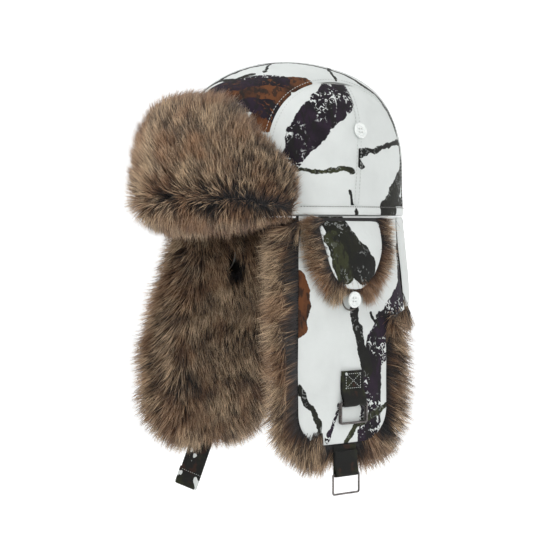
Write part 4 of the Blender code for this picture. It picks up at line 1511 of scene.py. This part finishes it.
def make_ear_covers():
    """Small shields of printed cloth over the ear openings, with fur behind them."""
    fur = bpy.context.scene.hat_fur
    pile = fur_look("cover fur", 0.8)
    rows = spread(0.0018, 0.045, 18) + [
        0.045 + 0.0178 * math.sin(math.radians(a)) for a in spread(8, 90, 14)
    ]
    for side, facing in SIDES.items():
        look = print_look(
            "printed cover " + side, "cover", facing, COVER_BRANCHES, (), (), COVER_TWIGS
        )

        def cloth_place(u, drop):
            across = u * cover_half(drop, COVER_LENGTH, COVER_HALF_WIDTH)
            lift = cover_lift(drop) - 0.0020 * u * u * ease(drop / 0.030)
            return cover_place(facing, across, drop, lift)

        def fur_place(u, drop, inner):
            across = u * cover_half(drop, COVER_LENGTH + 0.002, COVER_HALF_WIDTH + 0.002)
            if inner:
                return cover_place(facing, across, drop, CLOTH / 2 + 0.0012)
            lift = cover_lift(drop) - 0.0020 * u * u * ease(drop / 0.030)
            return cover_place(facing, across, drop, max(0.0030, lift - CLOTH - 0.0010))

        shell = make_cloth(
            "cover_cloth_" + side, cloth_place, spread(-1, 1, 36), rows, look,
            puff=0.0008, crease=0.0004
        )
        body = "ear_cover_" + side
        settle(shell, body, "poplin", body + "_shell")
        settings = {
            "strands": fur.strands, "locks": fur.locks * 1.6, "length": fur.cover_length,
            "seed": 40 + facing, "ruffle": 0.30,
        }
        make_fur(
            "cover_fur_" + side, body, body + "_fur", fur_place, cover_comb,
            spread(-1, 1, 28), [0.0030] + [r for r in rows if r > 0.005], pile, settings,
        )


# Neck flap


def make_neck_flap():
    """The printed cloth at the nape and its fur lining."""
    look = print_look("printed neck flap", "neck", 1, NECK_BRANCHES, NECK_LEAVES)

    def cloth_place(u, drop):
        return neck_place(u, drop, CLOTH / 2)

    def fur_place(u, drop, inner):
        if not inner:
            return neck_place(u, drop, -CLOTH / 2 - 0.0006)
        depth = 0.6 * NECK_FUR_DEPTH * (0.3 + 0.7 * math.sqrt(max(0.0, 1 - abs(2 * u - 1) ** 4)))
        depth *= 0.35 + 0.65 * ease((drop - 0.002) / 0.030)
        depth *= 0.35 + 0.65 * math.sqrt(max(0.0, 1 - ease((drop - 0.062) / 0.022) ** 2))
        point = neck_place(u, drop, -CLOTH / 2 - 0.0006 - depth)
        point.y = max(point.y, NECK_SIDE_Y + 0.0003)
        return point

    def comb(u, drop, inner):
        low = ease((drop - 0.070) / 0.010)
        if inner:
            return ((1.0, 0.0, 0.35), 1.0, 0.8)
        end = (1 - ease(min(u, 1 - u) / 0.02)) * ease((drop - 0.05) / 0.02)
        return ((1.0, 0.0, 0.12), 1.0, 3.0 * max(low > 0.9, 0.6 * end))

    shell = make_cloth(
        "neck_cloth", cloth_place, spread(0, 1, 90), spread(EAR_TOP, NECK_LENGTH, 36), look,
        puff=0.0012, crease=0.0009,
    )
    bend_from_crown(shell, 0.035, "neck_flap_shell")
    fur = bpy.context.scene.hat_fur
    pile = fur_look("neck fur", 0.35)
    settings = {
        "strands": fur.strands * 0.7, "locks": fur.locks, "length": fur.neck_length, "seed": 60
    }
    settings["bend"] = 0.035
    make_fur(
        "neck_fur", "neck_flap", "neck_flap_fur", fur_place, comb,
        spread(0, 1, 56), spread(0.003, NECK_LENGTH + 0.003, 24), pile, settings,
    )


# Buttons, loops, straps and rings


def button_look():
    """Moulded white button, glossy and faintly marbled."""
    look, w, shader = start_look("white button", 0.22)
    place = object_place(w)
    swirl = w.node(
        "ShaderNodeTexNoise", sockets={"Vector": place, "Scale": 300.0, "Distortion": 2.0}
    )
    tone = w.ramp(swirl.outputs["Fac"], 0.35, 0.65)
    w.link_or_set(
        w.blend(tone, (0.76, 0.80, 0.78, 1), (0.86, 0.88, 0.86, 1)), shader.inputs["Base Color"]
    )
    scuffs = w.cloud(place, 1500.0, 3.0)
    w.link_or_set(w.ramp(scuffs, 0.3, 0.7, 0.16, 0.34), shader.inputs["Roughness"])
    shader.inputs["Subsurface Weight"].default_value = 0.1
    shader.inputs["Subsurface Radius"].default_value = (0.002, 0.002, 0.002)
    return look


def thread_look(name, light, dark):
    """Twisted sewing thread."""
    look, w, shader = start_look(name, 0.7, 0.3)
    place = object_place(w)
    twist = w.node(
        "ShaderNodeTexWave", sockets={"Vector": place, "Scale": 900.0, "Distortion": 3.0}
    )
    tone = w.ramp(twist.outputs["Fac"], 0.2, 0.8)
    w.link_or_set(w.blend(tone, rgba(dark), rgba(light)), shader.inputs["Base Color"])
    return look


def wire_look():
    """Nickel-plated wire, a little dulled."""
    look, w, shader = start_look("nickel wire", 0.28)
    shader.inputs["Metallic"].default_value = 1.0
    place = object_place(w)
    dull = w.cloud(place, 220.0, 4.0)
    tone = w.ramp(dull, 0.35, 0.7)
    colour = bpy.context.scene.hat_colours.wire
    w.link_or_set(
        w.blend(tone, rgba(colour), rgba([c * 0.55 for c in colour])), shader.inputs["Base Color"]
    )
    w.link_or_set(w.ramp(dull, 0.3, 0.7, 0.20, 0.42), shader.inputs["Roughness"])
    return look


def strap_look(name, pale_from):
    """Dark printed cloth strap with pale and brown fragments of the print."""
    hat = bpy.context.scene.hat_colours
    look, w, shader = start_look(name, 0.85, 0.05)
    shader.inputs["Specular IOR Level"].default_value = 0.25
    place = object_place(w)
    blotch = w.cloud(place, 75.0, 4.0)
    shade = rgba([c * 0.6 for c in hat.olive])
    colour = w.blend(w.ramp(blotch, 0.48, 0.66), rgba(hat.branch_deep), shade)
    brown = w.cloud(place, 120.0, 2.0)
    colour = w.blend(w.ramp(brown, 0.60, 0.66), colour, rgba(hat.brown))
    moved = w.vector("ADD", place, (0.37, 0.11, 0.052))
    pale = w.cloud(moved, 88.0, 1.0)
    colour = w.blend(w.ramp(pale, pale_from, pale_from + 0.012), colour, rgba(hat.cloth))
    weave = weave_height(w, 0.0007)
    # Painted shade and highlight of the weave: the strap is darker where its threads dip and lighter
    # where they cross over.
    weave_shade = w.ramp(weave, -1.0, 1.0, 0.85, 1.1, smooth=False)
    grey = w.node("ShaderNodeCombineColor", weave_shade, weave_shade, weave_shade).outputs[0]
    w.link_or_set(w.blend(1.0, colour, grey, "MULTIPLY"), shader.inputs["Base Color"])
    w.bump(shader, 0.6, 0.0001, weave)
    return look


def dress_nodes(look, *names):
    """Gives CAD nodes that stay in view a finished material."""
    for name in names:
        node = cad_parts[name]
        node.data.materials.clear()
        node.data.materials.append(look)


def make_buttons():
    """The four buttons, their threads and the elastic loops."""
    button = button_look()
    white = thread_look("white thread", (0.80, 0.82, 0.80), (0.55, 0.57, 0.55))
    dark = thread_look("covered elastic", (0.10, 0.085, 0.07), (0.03, 0.026, 0.022))
    for side in SIDES:
        dress_nodes(button, "crown_button_" + side, "ear_button_" + side)
        dress_nodes(
            white, "crown_button_{}_thread".format(side), "ear_button_{}_thread".format(side)
        )
        dress_nodes(dark, "ear_cover_{}_loop".format(side))


def make_rings():
    """The wire rings on the left side."""
    dress_nodes(wire_look(), "keeper_ring_inner", "keeper_ring_outer", "chin_ring")


def keeper_path():
    """The keeper tab's fold round both rings, as (outward, drop) points."""
    axis = 0.0041
    path = [(0.0014, TAB_TOP + 0.004), (0.0014, TAB_FOLD - 0.002)]
    path += fold_round((axis, TAB_FOLD), 0.0027, math.pi, 0)
    path += [(0.0068, TAB_FOLD - 0.002), (0.0046, TAB_FOLD - 0.0075)]
    return path + [(0.0032, TAB_FOLD - 0.0115), (0.0032, TAB_TOP)]


def strap_frames():
    """The middle and base of the keeper tab and of the two chin straps."""
    tab = sum(ear_edges(TAB_FOLD)) / 2 + TAB_SIDE
    strap = sum(ear_edges(EAR_LENGTH - 0.005)) / 2
    return tab, ear_place(1, tab, TAB_FOLD, 0).x, strap, ear_place(1, strap, EAR_LENGTH, 0).x


def right_strap_place():
    """The right strap hangs forward from its seam."""
    _, _, middle, base = strap_frames()
    spot = Vector((-base, middle, -STRAP_TOP))
    return Matrix.Translation(spot) @ Matrix.Rotation(-RIGHT_STRAP_TILT, 4, "X")


def make_straps():
    """The keeper tab and both chin straps."""
    look = strap_look("printed strap", 0.63)
    plain = strap_look("darker strap", 0.9)
    tab, tab_x, middle, base = strap_frames()
    keeper = make_ribbon(
        "keeper_strap", look, refine(keeper_path()), tab, Matrix.Translation((tab_x, 0, 0))
    )
    settle(keeper, "ear_flap_left", "webbing", "keeper_tab_left")
    fold = (0.0018, STRAP_TOP + LEFT_STRAP)
    path = [(0, STRAP_TOP), (0, STRAP_TOP + 0.010), (0, fold[1] - 0.003)]
    path += fold_round(fold, 0.0018, math.pi, 0)
    path += [(0.0030, fold[1] - 0.004), (0.0017, fold[1] - 0.009), (0.0017, fold[1] - 0.019)]
    left = make_ribbon(
        "left_chin_strap", plain, refine(path), middle, Matrix.Translation((base, 0, 0))
    )
    settle(left, "chin_strap_left", "webbing", "chin_strap_left")
    end = RIGHT_STRAP
    path = [(0, 0.0058), (0, 0.020), (0, end - 0.001)]
    path += fold_round((-0.00085, end), 0.00085, 0, math.pi, 6)
    path += [(-0.0017, end - 0.001), (-0.0017, end - 0.015)]
    right = make_ribbon("right_chin_strap", look, refine(path), 0, right_strap_place())
    settle(right, "chin_strap_right", "webbing", "chin_strap_right")


# Stitching


def crown_seams():
    """Lines of topstitching on both sides of the crown's seams."""
    lines = []
    for facing in SIDES.values():
        for past in (0.965, 1.035):
            lines.append([raised(top_point(facing * past, v)) for v in spread(0.03, 0.97, 90)])
        for shift in (-0.0022, 0.0022):
            line = []
            for z in spread(0.010, 0.112, 40):
                angle = math.asin((side_seam_y(z) + shift) / (HALF_LENGTH * crown_ratio(z)))
                spot = crown_point(angle, z)
                spot.x *= facing
                line.append(raised(spot))
            lines.append(line)
    return lines


def raised(spot):
    """A point of the dome moved outwards, to where its stitches lie."""
    out = Vector((spot.x / HALF_WIDTH**2, spot.y / HALF_LENGTH**2, 2 * spot.z**3 / CROWN_HEIGHT**4))
    return spot + out.normalized() * STITCH_LIFT


def band_line(z, out):
    """A closed line of stitching round the crown."""
    line = []
    for angle in spread(0, 2 * math.pi, 160):
        point = crown_point(angle, 0) + plan_normal(angle) * out
        line.append(Vector((point.x, point.y, z)))
    return line


def box_cross(centre, half_y, half_z):
    """A stitched box with its diagonals, facing outwards."""
    corners = [
        centre + Vector((0, y * half_y, z * half_z)) for y,
        z in ((-1, -1), (1, -1), (1, 1), (-1, 1))
    ]
    box = [corners[0], corners[1], corners[2], corners[3], corners[0]]
    return [box, [corners[0], corners[2]], [corners[1], corners[3]]]


def make_stitching():
    """Every visible row of stitches, one piece for each body."""
    white = thread_look("topstitching", (0.60, 0.62, 0.60), (0.36, 0.38, 0.36))
    grey = thread_look("hem stitching", (0.20, 0.20, 0.18), (0.06, 0.06, 0.055))
    make_stitches("crown_stitching", "crown", crown_seams(), white)
    hem = [band_line(BAND_HEIGHT - 0.0012, 0.0019)]
    make_stitches("band_stitching", "crown", hem, grey, 0.0026, 0.0016, 0.0009)
    tab, tab_x, _, _ = strap_frames()
    box = box_cross(Vector((tab_x + 0.0042, tab, -TAB_TOP - 0.0085)), 0.0080, 0.0060)
    make_stitches("tab_stitching", "ear_flap_left", box, white, 0.0022, 0.0015, 0.0005)
    hem = [
        neck_place(u, NECK_LENGTH - 0.0030, CLOTH / 2 + 0.0004) for u in spread(0.012, 0.988, 90)
    ]
    make_stitches("neck_stitching", "neck_flap", [hem], white)
    tilt = right_strap_place()
    end = RIGHT_STRAP - 0.0125
    cross = [tilt @ Vector((0.0009, y * STRAP_WIDTH * 0.44, -end)) for y in (-1, 1)]
    make_stitches(
        "right_strap_stitching", "chin_strap_right", [cross], white, 0.0022, 0.0015, 0.0005
    )


# Stage


def way_out(azimuth, elevation):
    """The direction from the hat outwards, for angles in degrees."""
    a, e = math.radians(azimuth), math.radians(elevation)
    return Vector((math.sin(a) * math.cos(e), -math.cos(a) * math.cos(e), math.sin(e)))


def make_stage():
    """A pale floor that curves up behind the hat, soft lights and the camera."""
    scene = bpy.context.scene
    stage = scene.hat_stage
    look, w, shader = start_look("pale floor", 0.9)
    place = object_place(w)
    cloudy = w.cloud(place, 1.5, 2.0)
    tone = w.ramp(cloudy, 0.3, 0.7)
    w.link_or_set(
        w.blend(tone, (0.93, 0.93, 0.93, 1), (0.95, 0.95, 0.95, 1)), shader.inputs["Base Color"]
    )
    shader.inputs["Emission Color"].default_value = (1.0, 1.0, 1.0, 1.0)
    shader.inputs["Emission Strength"].default_value = 0.30 * stage.light
    bm = bmesh.new()
    radius, low, flat = 7.0, -stage.floor_drop, 5.0
    profile = [(0.0, low), (flat, low)]
    bends = spread(0.12, math.pi / 2, 10)
    profile += [(flat + 2.0 * math.sin(a), low + 2.0 * (1 - math.cos(a))) for a in bends]
    profile.append((radius, 6.0))
    rings = []
    turns = spread(0, 2 * math.pi, 64)[:-1]
    for out, z in profile[1:]:
        rings.append([bm.verts.new((out * math.cos(a), out * math.sin(a), z)) for a in turns])
    for one, two in zip(rings, rings[1:]):
        for k in range(64):
            n = (k + 1) % 64
            bm.faces.new((one[k], one[n], two[n], two[k]))
    bm.faces.new(rings[0])
    floor = finish_mesh("pale_floor", bm, look, 180)
    world = bpy.data.worlds.new("studio")
    world.use_nodes = True
    world.node_tree.nodes["Background"].inputs["Color"].default_value = (1.0, 1.0, 1.0, 1.0)
    world.node_tree.nodes["Background"].inputs["Strength"].default_value = 0.5 * stage.light
    scene.world = world
    aim = Vector((0.0, 0.0, stage.aim_height))
    for name, azimuth, elevation, distance, size, power in (
        ("key light", 0, 55, 1.8, 0.9, 12),
        ("fill light", 100, 20, 2.2, 1.6, 1),
        ("back light", 215, 45, 2.2, 1.4, 2),
    ):
        lamp = bpy.data.lights.new(name, "AREA")
        lamp.size = size
        lamp.energy = power * stage.light
        holder = bpy.data.objects.new(name, lamp)
        back = way_out(azimuth, elevation)
        holder.location = aim + back * distance
        holder.rotation_mode = "QUATERNION"
        holder.rotation_quaternion = back.to_track_quat("Z", "Y")
        scene.collection.objects.link(holder)
    eye = bpy.data.cameras.new("camera")
    eye.sensor_width = 36.0
    eye.lens = stage.lens
    camera = bpy.data.objects.new("camera", eye)
    back = way_out(stage.azimuth, stage.elevation)
    turn = math.radians(stage.azimuth)
    right = Vector((math.cos(turn), math.sin(turn), 0))
    camera.location = aim + right * stage.side_shift + back * stage.distance
    camera.rotation_mode = "QUATERNION"
    camera.rotation_quaternion = (-back).to_track_quat("-Z", "Y")
    scene.collection.objects.link(camera)
    scene.camera = camera
    scene.view_settings.view_transform = "Standard"


# Operators, panel and registration


class HatCrownCloth(bpy.types.Operator):
    """Make the crown's printed panels and its band"""

    bl_idname = "hat.crown_cloth"
    bl_label = "Crown cloth"

    def execute(self, context):
        make_crown_panels()
        make_band()
        return {"FINISHED"}


class HatInside(bpy.types.Operator):
    """Make the wadding, the quilted lining and the sweatband"""

    bl_idname = "hat.inside"
    bl_label = "Crown inside"

    def execute(self, context):
        make_inside()
        return {"FINISHED"}


class HatFrontFlap(bpy.types.Operator):
    """Make the front flap's cloth and its fur"""

    bl_idname = "hat.front_flap"
    bl_label = "Front flap"

    def execute(self, context):
        make_front_flap()
        return {"FINISHED"}


class HatEarFlaps(bpy.types.Operator):
    """Make both ear flaps: cloth, fur and the opening over the ear"""

    bl_idname = "hat.ear_flaps"
    bl_label = "Ear flaps"

    def execute(self, context):
        make_ear_flaps()
        return {"FINISHED"}


class HatEarCovers(bpy.types.Operator):
    """Make the covers over the ear openings"""

    bl_idname = "hat.ear_covers"
    bl_label = "Ear covers"

    def execute(self, context):
        make_ear_covers()
        return {"FINISHED"}


class HatNeckFlap(bpy.types.Operator):
    """Make the neck flap's cloth and its fur"""

    bl_idname = "hat.neck_flap"
    bl_label = "Neck flap"

    def execute(self, context):
        make_neck_flap()
        return {"FINISHED"}


class HatStraps(bpy.types.Operator):
    """Make the keeper tab and both chin straps"""

    bl_idname = "hat.straps"
    bl_label = "Straps"

    def execute(self, context):
        make_straps()
        return {"FINISHED"}


class HatFittings(bpy.types.Operator):
    """Finish the buttons, their threads, the loops and the wire rings"""

    bl_idname = "hat.fittings"
    bl_label = "Buttons and rings"

    def execute(self, context):
        make_buttons()
        make_rings()
        return {"FINISHED"}


class HatStitching(bpy.types.Operator):
    """Sew every visible row of stitches"""

    bl_idname = "hat.stitching"
    bl_label = "Stitching"

    def execute(self, context):
        make_stitching()
        return {"FINISHED"}


class HatStudio(bpy.types.Operator):
    """Set up the floor, the lights and the camera"""

    bl_idname = "hat.stage"
    bl_label = "Stage"

    def execute(self, context):
        make_stage()
        return {"FINISHED"}


class HatPanel(bpy.types.Panel):
    """Settings and steps of the hat, in the 3D view's sidebar."""

    bl_idname = "VIEW3D_PT_trapper_hat"
    bl_label = "Trapper hat"
    bl_space_type = "VIEW_3D"
    bl_region_type = "UI"
    bl_category = "Hat"

    def draw(self, context):
        for group in SETTINGS:
            box = self.layout.box()
            values = getattr(context.scene, group)
            for name in values.__annotations__:
                box.prop(values, name)
        for operator in OPERATORS:
            self.layout.operator(operator.bl_idname)


SETTINGS = {"hat_colours": HatColours, "hat_fur": HatFur, "hat_stage": HatStage}
OPERATORS = (
    HatCrownCloth,
    HatInside,
    HatFrontFlap,
    HatEarFlaps,
    HatEarCovers,
    HatNeckFlap,
    HatStraps,
    HatFittings,
    HatStitching,
    HatStudio,
)


def register():
    """Adds the classes and the settings to Blender."""
    for entry in (*SETTINGS.values(), *OPERATORS, HatPanel):
        bpy.utils.register_class(entry)
    for name, group in SETTINGS.items():
        setattr(bpy.types.Scene, name, PointerProperty(type=group))


def unregister():
    """Takes them out again."""
    for name in SETTINGS:
        delattr(bpy.types.Scene, name)
    for entry in (HatPanel, *reversed(OPERATORS), *reversed(SETTINGS.values())):
        bpy.utils.unregister_class(entry)


def main():
    """Registers the classes and builds every piece."""
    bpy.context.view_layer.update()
    register()
    bpy.ops.hat.crown_cloth()
    bpy.ops.hat.inside()
    bpy.ops.hat.front_flap()
    bpy.ops.hat.ear_flaps()
    bpy.ops.hat.ear_covers()
    bpy.ops.hat.neck_flap()
    bpy.ops.hat.straps()
    bpy.ops.hat.fittings()
    bpy.ops.hat.stitching()
    bpy.ops.hat.stage()


if __name__ == "__main__":
    main()
